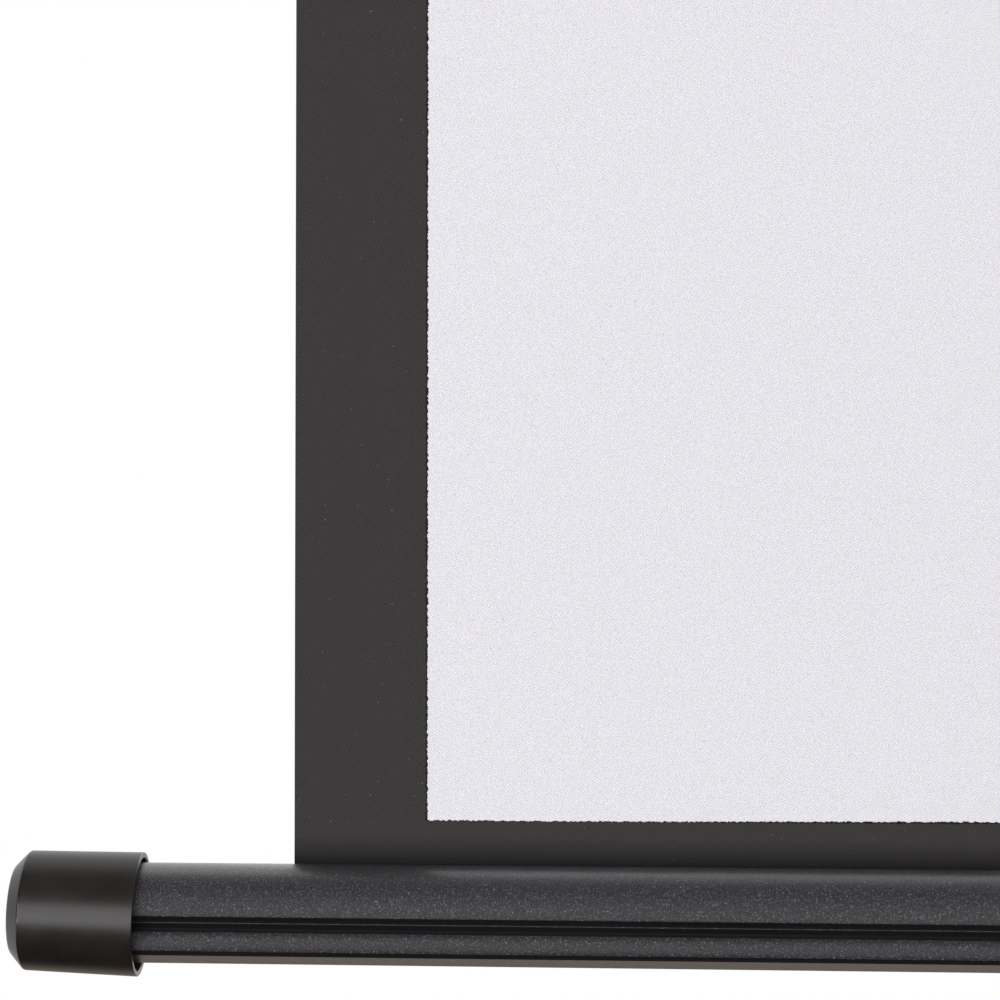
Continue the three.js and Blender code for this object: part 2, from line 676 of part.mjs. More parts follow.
function stand() {
  add(screen, 'outer_tube', cut(
    ring(tubeInnerRadius, outerTubeRadius, outerTubeFootHeight, outerTubeTop),
    alongY(rod(knobStudRadius + runGap, 0, outerTubeRadius + overrun))
      .translate(0, 0, outerTubeTop + clampLip - clampHeight / 2)), blackTube);

  add(screen, 'tube_foot_plug', turned([
    [0, -clampLip], [outerTubeRadius, -clampLip], [outerTubeRadius, -seatGap],
    [tubeInnerRadius - fitGap, -seatGap], [tubeInnerRadius - fitGap, footPlugLength],
    [0, footPlugLength],
  ]), blackPlastic, [0, 0, outerTubeFootHeight]);

  add(screen, 'mast_bush', ring(innerTubeRadius + fitGap, tubeInnerRadius - fitGap,
    -bushLength + clampLip, -seatGap), blackPlastic, [0, 0, outerTubeTop]);

  // Clamp over the outer tube's mouth, with a boss behind it for the knob's stud
  const clampOuter = outerTubeRadius + clampWall;
  const stepZ = -clampLip;
  const sleeve = turned([
    [outerTubeRadius + fitGap, -clampHeight], [clampOuter, -clampHeight], [clampOuter, 0],
    [innerTubeRadius + runGap, 0], [innerTubeRadius + runGap, stepZ + seatGap],
    [outerTubeRadius + fitGap, stepZ + seatGap], [outerTubeRadius + fitGap, -clampHeight],
  ]);
  const bossReach = clampOuter + clampWall;
  const boss = alongY(rod(knobNeckRadius, outerTubeRadius + clampWall / 2, bossReach, 16))
    .translate(0, 0, -clampHeight / 2);
  const studHole = alongY(rod(knobStudRadius + fitGap, 0, bossReach + overrun))
    .translate(0, 0, -clampHeight / 2);
  const clampPlace = [0, 0, outerTubeTop + clampLip];
  add(screen, 'mast_clamp', cut(join(sleeve, boss), studHole), blackPlastic, clampPlace);
  const clampKnob = alongY(knob(bossReach - innerTubeRadius));
  add(screen, 'clamp_knob', clampKnob, blackPlastic,
    [0, bossReach + runGap, clampPlace[2] - clampHeight / 2]);
}

// Pairs of ears round a barrel, each pair on a leg's own radius
function earedBarrel(height, earSpan, thickness, studLength) {
  const barrelOuter = outerTubeRadius + hubWall;
  const barrel = rod(barrelOuter, -height / 2, height / 2, tubeFacets);
  const outline = [[barrelOuter - hubWall / 2, -earRadius],
    ...arc(pivotRadius, 0, earRadius, -Math.PI / 2, Math.PI / 2, 6),
    [barrelOuter - hubWall / 2, earRadius]];
  const ears = legAzimuths.flatMap((azimuth) => [-1, 1].flatMap((side) => {
    const [y0, y1] = [side * earSpan / 2, side * (earSpan / 2 + thickness)].sort((a, b) => a - b);
    const parts = [extrudedY(outline, y0, y1)];
    if (studLength) {
      const [s0, s1] = [side * (earSpan / 2 + thickness / 2), side * (earSpan / 2 + thickness + studLength)]
        .sort((a, b) => a - b);
      parts.push(alongY(rod(pinHeadRadius, s0, s1)).translate(pivotRadius, 0, 0));
    }
    return parts.map((part) => part.rotateZ(azimuth));
  }));
  const bore = rod(outerTubeRadius + fitGap, -height, height, tubeFacets);
  return cut(join(barrel, ...ears), bore);
}

function tripod() {
  const pinBores = legAzimuths.map((azimuth) =>
    alongY(rod(pinRadius + fitGap, -pivotRadius, pivotRadius)).translate(pivotRadius, 0, 0).rotateZ(azimuth));
  add(screen, 'leg_hub', cut(earedBarrel(hubHeight, hubEarSpan, earThickness, 0), ...pinBores),
    blackPlastic, [0, 0, hubPivotHeight]);

  const barrelOuter = outerTubeRadius + hubWall;
  const collarBore = alongY(rod(knobStudRadius + fitGap, -barrelOuter - overrun, 0));
  add(screen, 'brace_collar', cut(
    earedBarrel(collarHeight, collarEarSpan, earThickness, pinHeadLength), collarBore),
  blackPlastic, [0, 0, collarHeightOpen]);
  const collarKnob = alongY(knob(barrelOuter + runGap - outerTubeRadius - fitGap)).rotateZ(Math.PI);
  add(screen, 'collar_knob', collarKnob, blackPlastic, [0, -barrelOuter - runGap, collarHeightOpen]);

  legAzimuths.forEach((azimuth, i) => leg(azimuth, i + 1));
}

// One leg: its local X points away from the mast and its local -Z runs down the leg
function leg(azimuth, number) {
  const plane = new THREE.Group();
  plane.rotation.z = azimuth;
  screen.add(plane);
  const frame = new THREE.Group();
  frame.position.set(pivotRadius, 0, hubPivotHeight);
  frame.rotation.y = -legOpenAngle;
  plane.add(frame);

  const pinLength = hubEarSpan + 2 * earThickness;
  add(plane, `hub_pin_${number}`, headedPin(pinLength), zincSteel, [pivotRadius, 0, hubPivotHeight]);
  add(frame, `leg_tube_${number}`,
    ring(legTubeRadius - legTubeWall, legTubeRadius, -legLength, legTopRise, 20), blackTube,
    [legOffset, 0, 0]);

  // The bracket is a channel that carries both pivots on the inner side of the tube
  const webOuter = legOffset - legTubeRadius - fitGap;
  const webInner = webOuter - channelWall;
  const [top, bottom] = [channelLip, -braceLength - channelLip];
  const half = channelWidth / 2;
  const body = block(-channelLip, webOuter, -half, half, bottom, top);
  const trough = block(-channelLip - overrun, webInner, channelWall - half, half - channelWall,
    bottom - overrun, top + overrun);
  const holes = [0, -braceLength].map((z) =>
    alongY(rod(pinRadius + fitGap, -half - overrun, half + overrun)).translate(0, 0, z));
  add(frame, `leg_bracket_${number}`, cut(body, trough, ...holes), zincSteel);
  add(frame, `brace_pin_${number}`, headedPin(channelWidth + fitGap), zincSteel, [0, 0, -braceLength]);

  // The rubber foot is a ball-ended cap, worn flat where it stands on the floor
  const cap = turned([
    [0, -footRadius], ...arc(0, 0, footRadius, -Math.PI / 2, 0, 6).slice(1),
    [footRadius, footSocketDepth], [legTubeRadius + fitGap, footSocketDepth],
    [legTubeRadius + fitGap, -fitGap], [0, -fitGap],
  ]);
  cap.translate(legOffset, 0, -legLength);
  frame.updateMatrix();
  const floor = block(-legLength, legLength * 2, -legLength, legLength, -legLength, 0)
    .applyMatrix4(frame.matrix.clone().invert());
  add(frame, `leg_foot_${number}`, cut(cap, floor), rubber);

  // The brace leans back from the leg's pin to the collar, as a mirror of the leg above it
  const tie = new THREE.Group();
  tie.position.set(0, 0, -braceLength);
  tie.rotation.y = 2 * legOpenAngle;
  frame.add(tie);
  const outline = [
    ...arc(0, 0, braceEndRadius, 0, Math.PI, 6),
    ...arc(0, -braceLength, braceEndRadius, Math.PI, 2 * Math.PI, 6)];
  const bar = extrudedY(outline, -braceThickness / 2, braceThickness / 2);
  const bores = [0, -braceLength].map((z) =>
    alongY(rod(pinRadius + fitGap, -overrun, overrun)).translate(0, 0, z));
  add(tie, `brace_${number}`, cut(bar, ...bores), zincSteel);
}

// A pin along Y with a head at each end, just clear of what it holds together
function headedPin(grip) {
  const half = grip / 2 + fitGap;
  const end = half + pinHeadLength;
  return alongY(turned([
    [0, -end], [pinHeadRadius, -end], [pinHeadRadius, -half], [pinRadius, -half],
    [pinRadius, half], [pinHeadRadius, half], [pinHeadRadius, end], [0, end],
  ], smallFacets));
}

stand();
tripod();
mast();
caseAssembly();
fabric();
weightBar();

// The part's origin lies under the middle of its footprint
screen.updateMatrixWorld(true);
const reach = new THREE.Box3().setFromObject(screen, true);
const middle = reach.getCenter(new THREE.Vector3());
screen.position.set(-middle.x, -middle.y, 0);
screen.updateMatrixWorld(true);

export default screen;
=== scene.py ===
"""A portable projector screen on a tripod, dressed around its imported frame.

The fabric hangs from a roller in a long case, on a telescopic mast with three folding legs. A moulded
weight bar with round end caps pulls the fabric straight, and the camera looks at its lower left corner.
Lengths are metres, +Z is up, and the front of the screen faces -Y.
"""

import logging
import math
from collections.abc import Callable, Iterable, Sequence
from dataclasses import dataclass, replace
from enum import Enum

import bmesh
import bpy
from mathutils import Matrix, Vector


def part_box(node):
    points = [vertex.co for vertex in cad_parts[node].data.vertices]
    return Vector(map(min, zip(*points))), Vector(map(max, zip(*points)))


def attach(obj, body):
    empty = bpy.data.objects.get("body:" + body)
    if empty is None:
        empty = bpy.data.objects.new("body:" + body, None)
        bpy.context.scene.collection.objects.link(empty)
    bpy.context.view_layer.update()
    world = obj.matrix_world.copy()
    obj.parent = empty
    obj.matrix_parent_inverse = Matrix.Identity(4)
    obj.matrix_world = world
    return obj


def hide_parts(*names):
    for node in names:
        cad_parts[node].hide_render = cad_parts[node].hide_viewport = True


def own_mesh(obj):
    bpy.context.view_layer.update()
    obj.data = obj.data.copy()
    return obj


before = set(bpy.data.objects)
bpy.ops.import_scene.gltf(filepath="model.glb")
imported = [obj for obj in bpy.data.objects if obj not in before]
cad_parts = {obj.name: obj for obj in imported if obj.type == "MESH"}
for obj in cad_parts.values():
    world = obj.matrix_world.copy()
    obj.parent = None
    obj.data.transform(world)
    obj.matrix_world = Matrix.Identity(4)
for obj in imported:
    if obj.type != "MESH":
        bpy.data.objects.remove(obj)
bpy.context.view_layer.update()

log = logging.getLogger("projector_screen")

MM = 0.001
FULL_TURN = 2 * math.pi
CLOTH_PLACE = "cloth_place"
POLE_WELD = 1e-7
CUT_WELD = 1e-6
LEVEL_GAP = 0.01 * MM
ALONG_SHARE = 0.9

Outline = list[tuple[float, float]]
Profile = tuple[tuple[float, float], ...]
Ramp = tuple[float, float, float, float]
Mesh = bmesh.types.BMesh
Socket = bpy.types.NodeSocket


class Axis(Enum):
    """The direction that a turned or extruded piece lies along."""

    X = 0
    Y = 1
    Z = 2

    def lie(self) -> Matrix:
        """The turn that takes a piece built along Z to this direction."""
        if self is Axis.X:
            return Matrix(((0, 0, 1), (1, 0, 0), (0, 1, 0))).to_4x4()
        if self is Axis.Y:
            return Matrix(((-1, 0, 0), (0, 0, 1), (0, 1, 0))).to_4x4()
        return Matrix.Identity(4)


class Side(Enum):
    """The end of the screen that a mirrored piece belongs to."""

    LEFT = -1
    RIGHT = 1

    @property
    def word(self) -> str:
        """The side's name in a piece's name."""
        return self.name.lower()

    @property
    def turn(self) -> Matrix:
        """The turn that takes a piece built for the right end to this end."""
        return about("Z", 180 if self is Side.LEFT else 0)


# Shapes


def about(axis: str, degrees: float) -> Matrix:
    """A turn about the X, Y or Z axis."""
    return Matrix.Rotation(math.radians(degrees), 4, axis)


def moved(bm: Mesh, matrix: Matrix) -> Mesh:
    """Moves a mesh by a matrix."""
    bmesh.ops.transform(bm, matrix=matrix, verts=bm.verts)
    return bm


def outward(bm: Mesh) -> Mesh:
    """Points a mesh's faces outwards."""
    bmesh.ops.recalc_face_normals(bm, faces=bm.faces)
    return bm


def picked(grown: Iterable[object], kind: type) -> list:
    """The vertices, edges or faces among an operator's results."""
    return [part for part in grown if isinstance(part, kind)]


def arc(centre: tuple[float, float], radius: float, start: float, end: float, steps: int) -> Outline:
    """A round stretch of an outline.

    Args:
        centre: The middle of the arc.
        radius: Its radius.
        start: The first angle, in degrees.
        end: The last angle, in degrees.
        steps: How many straight steps it takes.

    Returns:
        The points from start to end.
    """
    angles = [math.radians(start + (end - start) * i / steps) for i in range(steps + 1)]
    return [(centre[0] + radius * math.cos(a), centre[1] + radius * math.sin(a)) for a in angles]


def round_box_outline(half_width: float, half_height: float, corner: float, steps: int = 12) -> Outline:
    """A rectangle with round corners, anticlockwise from the left end of its lower right corner."""
    points: Outline = []
    for turn, (across, up) in enumerate([(1, -1), (1, 1), (-1, 1), (-1, -1)]):
        middle = (across * (half_width - corner), up * (half_height - corner))
        points += arc(middle, corner, 90 * (turn - 1), 90 * turn, steps)
    return points


def prism(outline: Outline, start: float, end: float, axis: Axis) -> Mesh:
    """Carries an outline along an axis.

    Args:
        outline: Points in (y, z) for a piece along X, (x, z) along Y and (x, y) along Z.
        start: Where the piece starts along the axis.
        end: Where it ends.
        axis: The direction that it lies along.

    Returns:
        A closed mesh.
    """
    bm = bmesh.new()
    order = {Axis.X: (2, 0, 1), Axis.Y: (0, 2, 1), Axis.Z: (0, 1, 2)}[axis]
    corners = [(a, b, start) for a, b in outline]
    base = bm.faces.new([bm.verts.new([corner[k] for k in order]) for corner in corners])
    grown = bmesh.ops.extrude_face_region(bm, geom=[base])["geom"]
    way = [end - start if k == axis.value else 0.0 for k in range(3)]
    bmesh.ops.translate(bm, verts=picked(grown, bmesh.types.BMVert), vec=way)
    return outward(bm)


def turned(profile: Outline, axis: Axis = Axis.Z, steps: int = 64, closed: bool = False) -> Mesh:
    """Turns a profile about an axis, as on a lathe.

    Args:
        profile: Points of (radius, distance along the axis), from pole to pole or round a ring.
        axis: The axis that it turns about.
        steps: The steps of the full turn.
        closed: Whether the last point joins the first, as in a ring.

    Returns:
        A closed mesh.
    """
    bm = bmesh.new()
    verts = [bm.verts.new((radius, 0, height)) for radius, height in profile]
    pairs = list(zip(verts, verts[1:])) + ([(verts[-1], verts[0])] if closed else [])
    edges = [bm.edges.new(pair) for pair in pairs]
    bmesh.ops.spin(bm, geom=verts + edges, cent=(0, 0, 0), axis=(0, 0, 1), dvec=(0, 0, 0),
                   angle=FULL_TURN, steps=steps, use_merge=True, use_duplicate=False)
    bmesh.ops.remove_doubles(bm, verts=bm.verts, dist=POLE_WELD)
    return moved(outward(bm), axis.lie())


def rod(radius: float, start: float, end: float, axis: Axis = Axis.Z, steps: int = 48) -> Mesh:
    """A straight rod along an axis."""
    return turned([(0, start), (radius, start), (radius, end), (0, end)], axis, steps)


def tube(inner: float, outer: float, start: float, end: float, axis: Axis = Axis.Z,
         steps: int = 64) -> Mesh:
    """A straight tube along an axis."""
    profile = [(inner, start), (outer, start), (outer, end), (inner, end)]
    return turned(profile, axis, steps, closed=True)


def block(low: Sequence[float], high: Sequence[float]) -> Mesh:
    """A box between two corners."""
    bm = bmesh.new()
    size = Vector(high) - Vector(low)
    middle_point = (Vector(high) + Vector(low)) / 2
    bmesh.ops.create_cube(bm, size=1, matrix=Matrix.Translation(middle_point) @ Matrix.Diagonal((*size, 1)))
    return bm


@dataclass(frozen=True)
class Run:
    """A straight stretch of a bent rod."""

    way: tuple[float, float, float]


@dataclass(frozen=True)
class Bend:
    """A round corner of a bent rod, in the plane of X and Z, about a point."""

    centre: tuple[float, float]
    degrees: float


def bent_rod(start: float, radius: float, moves: Sequence[Run | Bend], sides: int = 28,
             bend_steps: int = 12) -> Mesh:
    """A rod that starts along X and is bent round formers.

    Args:
        start: Where its first end lies on X.
        radius: The rod's radius.
        moves: Its straight runs and its bends, in order.
        sides: The sides of its section.
        bend_steps: The steps of each bend.

    Returns:
        A closed mesh.
    """
    bm = bmesh.new()
    stand = Matrix.Translation((start, 0, 0)) @ about("Y", 90)
    bmesh.ops.create_circle(bm, cap_ends=True, radius=radius, segments=sides, matrix=stand)
    last = next(iter(bm.faces))
    for number, move in enumerate(moves):
        if isinstance(move, Run):
            grown = bmesh.ops.extrude_face_region(bm, geom=[last])["geom"]
            bmesh.ops.translate(bm, verts=picked(grown, bmesh.types.BMVert), vec=move.way)
        else:
            centre = (move.centre[0], 0, move.centre[1])
            grown = bmesh.ops.spin(bm, geom=[last], cent=centre, axis=(0, 1, 0), dvec=(0, 0, 0),
                                   angle=math.radians(move.degrees), steps=bend_steps,
                                   use_duplicate=False)["geom_last"]
        if number and last.is_valid:
            bmesh.ops.delete(bm, geom=[last], context="FACES_ONLY")
        last = picked(grown, bmesh.types.BMFace)[0]
    return outward(bm)


def bail(half_span: float, drop: float, bend: float, end: float, radius: float) -> Mesh:
    """A wire bail that hangs from two short ends along X.

    Args:
        half_span: Half the distance between its two arms.
        drop: How far its cross bar lies below its ends.
        bend: The radius of its corners.
        end: How far its ends reach from the middle.
        radius: The wire's radius.

    Returns:
        The closed mesh, hanging along -Z.
    """
    shoulder = half_span + bend
    side = drop - 2 * bend
    return bent_rod(-end, radius, [
        Run((end - shoulder, 0, 0)), Bend((-shoulder, -bend), 90), Run((0, 0, -side)),
        Bend((bend - half_span, bend - drop), -90), Run((2 * (half_span - bend), 0, 0)),
        Bend((half_span - bend, bend - drop), -90), Run((0, 0, side)),
        Bend((shoulder, -bend), 90), Run((end - shoulder, 0, 0)),
    ])


def soften(bm: Mesh, width: float, sharper_than: float = 60, segments: int = 3,
           only: Callable[[bmesh.types.BMEdge], bool] | None = None) -> Mesh:
    """Rounds a mesh's sharp edges.

    Args:
        bm: The mesh, which is changed.
        width: The width of each rounding.
        sharper_than: The least angle between two faces, in degrees, that counts as an edge.
        segments: The steps across the rounding.
        only: A test that an edge has to pass, if not all of them are rounded.

    Returns:
        The same mesh.
    """
    bm.normal_update()
    least = math.radians(sharper_than)
    sharp = [e for e in bm.edges if len(e.link_faces) == 2 and e.calc_face_angle(0) > least]
    edges = [e for e in sharp if only is None or only(e)]
    bmesh.ops.bevel(bm, geom=edges, offset=width, offset_type="OFFSET", segments=segments, profile=0.5,
                    affect="EDGES", clamp_overlap=True, material=-1)
    return bm


def placed(bm: Mesh, place: Sequence[float] = (0, 0, 0), turn: Matrix | None = None) -> Mesh:
    """Turns a mesh about the origin, then moves it to its place."""
    return moved(bm, Matrix.Translation(place) @ (turn if turn else Matrix.Identity(4)))


def gathered(parts: Iterable[Mesh]) -> Mesh:
    """Puts separate closed shells into one mesh."""
    whole = bmesh.new()
    for part in parts:
        held = to_mesh(part, "part")
        whole.from_mesh(held)
        bpy.data.meshes.remove(held)
    return whole


def to_mesh(bm: Mesh, name: str) -> bpy.types.Mesh:
    """Writes a bmesh to a new mesh and frees it."""
    mesh = bpy.data.meshes.new(name)
    bm.to_mesh(mesh)
    bm.free()
    return mesh


def in_scene(name: str, data: bpy.types.ID) -> bpy.types.Object:
    """Makes an object and puts it in the scene."""
    made = bpy.data.objects.new(name, data)
    bpy.context.scene.collection.objects.link(made)
    return made


def combined(base: Mesh, joins: Sequence[Mesh] = (), cuts: Sequence[Mesh] = ()) -> Mesh:
    """Joins closed meshes to a closed mesh, then cuts others out of it.

    Args:
        base: The mesh that is changed.
        joins: The meshes that are joined to it.
        cuts: The meshes that are cut out of it.

    Returns:
        The new mesh; the others are freed.
    """
    for operation, tools in (("UNION", joins), ("DIFFERENCE", cuts)):
        if not tools:
            continue
        held = in_scene("workpiece", to_mesh(base, "workpiece"))
        cutters = [in_scene("tool", to_mesh(tool, "tool")) for tool in tools]
        for cutter in cutters:
            step = held.modifiers.new("step", "BOOLEAN")
            step.operation = operation
            step.solver = "EXACT"
            step.object = cutter
        base = bmesh.new()
        base.from_mesh(held.evaluated_get(bpy.context.evaluated_depsgraph_get()).data)
        for used in [held, *cutters]:
            bpy.data.meshes.remove(used.data)
        bmesh.ops.remove_doubles(base, verts=base.verts, dist=CUT_WELD)
    return base


# Finishes


def linear(code: str) -> tuple[float, float, float, float]:
    """Turns an sRGB hex colour, such as 3a3b3c, to a linear one."""
    parts = [int(code[k:k + 2], 16) / 255 for k in (0, 2, 4)]
    red, green, blue = (p / 12.92 if p <= 0.04045 else ((p + 0.055) / 1.055) ** 2.4 for p in parts)
    return red, green, blue, 1.0


def add_node(tree: bpy.types.NodeTree, kind: str, values: dict | None = None,
             links: dict | None = None, **settings: object) -> bpy.types.Node:
    """Adds a node.

    Args:
        tree: The node tree.
        kind: The node's type, such as ShaderNodeMath.
        values: Values for its input sockets, by name or number.
        links: The output sockets that its inputs take, by name or number.
        settings: The node's own properties.

    Returns:
        The node.
    """
    node = tree.nodes.new(kind)
    for name, value in settings.items():
        setattr(node, name, value)
    for name, value in (values or {}).items():
        node.inputs[name].default_value = value
    for name, socket in (links or {}).items():
        tree.links.new(socket, node.inputs[name])
    return node


@dataclass
class Dressing:
    """A material's nodes while a finish works on them."""

    tree: bpy.types.NodeTree
    shader: bpy.types.Node
    place: Socket

    def feed(self, name: str, socket: Socket) -> None:
        """Links a socket to one of the shader's inputs."""
        self.tree.links.new(socket, self.shader.inputs[name])

    def sum(self, operation: str, first: Socket | float, second: Socket | float) -> Socket:
        """One sum on two sockets or numbers."""
        node = add_node(self.tree, "ShaderNodeMath", operation=operation)
        for slot, term in enumerate((first, second)):
            if isinstance(term, Socket):
                self.tree.links.new(term, node.inputs[slot])
            else:
                node.inputs[slot].default_value = term
        return node.outputs[0]

    def spread(self, source: Socket, low: float, high: float, to_low: float = 0,
               to_high: float = 1) -> Socket:
        """Maps a socket from one range to another, clamped; a Ramp holds the four numbers."""
        values = {"From Min": low, "From Max": high, "To Min": to_low, "To Max": to_high}
        return add_node(self.tree, "ShaderNodeMapRange", values, {"Value": source}).outputs["Result"]

    def grain(self, size: float, detail: float = 2.0, stretch: Sequence[float] = (1, 1, 1)) -> Socket:
        """Noise over the piece.

        Args:
            size: The size of one grain.
            detail: How many finer octaves it has.
            stretch: A scale for each axis, below 1 where the grain is long.

        Returns:
            The noise, from 0 to 1.
        """
        place = add_node(self.tree, "ShaderNodeMapping", {"Scale": stretch}, {"Vector": self.place})
        noise = add_node(self.tree, "ShaderNodeTexNoise", {"Scale": 1 / size, "Detail": detail},
                         {"Vector": place.outputs["Vector"]})
        return noise.outputs["Fac"]

    def lay(self, share: Socket, under: Socket | str, over: Socket | str) -> Socket:
        """Lays one colour over another by a share, each a socket or a hex colour."""
        mix = add_node(self.tree, "ShaderNodeMix", links={0: share}, data_type="RGBA")
        for slot, colour in ((6, under), (7, over)):
            if isinstance(colour, str):
                mix.inputs[slot].default_value = linear(colour)
            else:
                self.tree.links.new(colour, mix.inputs[slot])
        return mix.outputs[2]

    def raise_by(self, height: Socket, depth: float) -> None:
        """Raises the surface by a height of 0 to 1, depth metres deep."""
        bump = add_node(self.tree, "ShaderNodeBump", {"Distance": depth, "Strength": 1}, {"Height": height})
        self.feed("Normal", bump.outputs["Normal"])


@dataclass(frozen=True)
class Finish:
    """What every finish has: a name, a slot name, a colour, a gloss and its own detail."""

    name: str
    slot: str
    colour: str
    roughness: float = 0.5
    metallic: float = 0.0
    gloss: float = 0.5
    ior: float = 1.5

    def material(self) -> bpy.types.Material:
        """The finish's material, made once."""
        known = bpy.data.materials.get(self.name)
        if known:
            return known
        made = bpy.data.materials.new(self.name)
        made.use_nodes = True
        made.diffuse_color = linear(self.colour)
        tree = made.node_tree
        tree.nodes.clear()
        shader = add_node(tree, "ShaderNodeBsdfPrincipled", {
            "Base Color": linear(self.colour), "Roughness": self.roughness, "Metallic": self.metallic,
            "Specular IOR Level": self.gloss, "IOR": self.ior})
        add_node(tree, "ShaderNodeOutputMaterial", links={"Surface": shader.outputs["BSDF"]})
        self.dress(Dressing(tree, shader, self.coordinates(tree)))
        return made

    def coordinates(self, tree: bpy.types.NodeTree) -> Socket:
        """The coordinates that the finish's patterns lie on."""
        return add_node(tree, "ShaderNodeTexCoord").outputs["Object"]

    def dress(self, on: Dressing) -> None:
        """Adds the finish's own detail."""
        raise NotImplementedError


@dataclass(frozen=True)
class SandyPowderCoat(Finish):
    """Charcoal powder coat with a sandy grain on aluminium: dull, with painted glints on single grains and
    painted shade in the hollows between them.

    Seen along the surface it shines, because the grains hide the hollows between them.
    """

    grain_size: float = 0.42 * MM
    fine_grain_size: float = 0.189 * MM
    coarse_share: float = 0.45
    grain_depth: float = 0.12 * MM
    film: Ramp = (0.12, 0.4, 0, 0.85)
    film_roughness: float = 0.3
    film_ior: float = 1.85
    # Painted highlight: the glint colour lightens single fine grains in place of their sparkle.
    glint_highlight: str = "86828a"
    glint_highlight_ramp: Ramp = (0.58, 0.66, 0, 0.9)
    # Painted shade: the hollow colour darkens the low places between the grains, on top of their uneven
    # tone.
    hollow: str = "100f11"
    hollow_shade_ramp: Ramp = (0.40, 0.52, 0.85, 0)

    def dress(self, on: Dressing) -> None:
        """Coarse grains that stand proud, painted shade that darkens the hollows between them, and painted
        glints on the fine grains.
        """
        facing = add_node(on.tree, "ShaderNodeLayerWeight", {"Blend": 0.5}).outputs["Facing"]
        on.feed("Coat Weight", on.spread(facing, *self.film))
        on.shader.inputs["Coat Roughness"].default_value = self.film_roughness
        on.shader.inputs["Coat IOR"].default_value = self.film_ior
        coarse = on.sum("MULTIPLY", on.grain(self.grain_size, 2.0), self.coarse_share)
        fine = on.sum("MULTIPLY", on.grain(self.fine_grain_size, 1.0), 1 - self.coarse_share)
        both = on.sum("ADD", coarse, fine)
        # Painted shade in the hollows, then painted glints on the fine grains.
        hollow_shaded = on.lay(on.spread(both, *self.hollow_shade_ramp), self.colour, self.hollow)
        on.feed("Base Color", on.lay(on.spread(both, *self.glint_highlight_ramp), hollow_shaded, self.glint_highlight))
        on.raise_by(both, self.grain_depth)


@dataclass(frozen=True)
class PatchyFinish(Finish):
    """A finish with slow patches of another colour, an uneven gloss and a fine relief."""

    patch_colour: str = "3a3a3c"
    patch_size: float = 60 * MM
    patch_detail: float = 3.0
    patches: Ramp = (0.35, 0.8, 0, 0.3)
    dulling: Ramp = (0.35, 0.65, 0.85, 1.2)
    dulled_by_relief: bool = False
    relief_size: float = 1.6 * MM
    relief_detail: float = 1.0
    relief_depth: float = 0.02 * MM

    def dress(self, on: Dressing) -> None:
        """Patches of wear or dust, and the relief; dulling gives shares of the roughness."""
        patches = on.grain(self.patch_size, self.patch_detail)
        relief = on.grain(self.relief_size, self.relief_detail, self.stretch())
        shown = on.spread(patches, *self.patches)
        on.feed("Base Color", on.lay(shown, self.colour, self.patch_colour))
        low, high, least, most = self.dulling
        uneven = relief if self.dulled_by_relief else patches
        on.feed("Roughness", on.spread(uneven, low, high, self.roughness * least, self.roughness * most))
        on.raise_by(relief, self.relief_depth)

    def stretch(self) -> Sequence[float]:
        """The relief's scale along each axis."""
        return 1, 1, 1


@dataclass(frozen=True)
class SmoothPowderCoat(PatchyFinish):
    """Semi-gloss powder coat or enamel, with the faint orange peel that it sets in, polished by hands."""


@dataclass(frozen=True)
class MouldedPlastic(PatchyFinish):
    """Injection-moulded ABS or nylon: even and satin, with the fine texture of a spark-eroded mould."""

    patch_colour: str = "2a2522"
    patch_size: float = 7 * MM
    patch_detail: float = 4.0
    patches: Ramp = (0.35, 0.75, 0, 0.6)
    dulling: Ramp = (0.3, 0.7, 0.92, 1.1)
    relief_size: float = 0.35 * MM
    relief_detail: float = 2.0
    relief_depth: float = 0.004 * MM


@dataclass(frozen=True)
class MouldedRubber(PatchyFinish):
    """Natural rubber, moulded: dull, a little dusty where it has been on the floor."""

    patch_colour: str = "3b3833"
    patch_size: float = 9 * MM
    patch_detail: float = 5.0
    patches: Ramp = (0.45, 0.75, 0, 0.6)
    dulling: Ramp = (0.3, 0.7, 0.9, 1)
    relief_size: float = 0.5 * MM
    relief_detail: float = 3.0
    relief_depth: float = 0.03 * MM


@dataclass(frozen=True)
class PlatedSteel(PatchyFinish):
    """Drawn or zinc-plated steel: a metal with fine scratches along the piece and a cloudy plating."""

    along: Axis = Axis.Z
    scratch_stretch: float = 0.02
    patch_colour: str = "8f9193"
    patch_size: float = 14 * MM
    patches: Ramp = (0.4, 0.75, 0, 0.7)
    dulling: Ramp = (0.3, 0.7, 0.75, 1.3)
    dulled_by_relief: bool = True
    relief_size: float = 0.35 * MM
    relief_detail: float = 3.0
    relief_depth: float = 0.0015 * MM

    def stretch(self) -> Sequence[float]:
        """The scratches are long in the direction that the piece was drawn."""
        return [self.scratch_stretch if axis is self.along else 1 for axis in Axis]


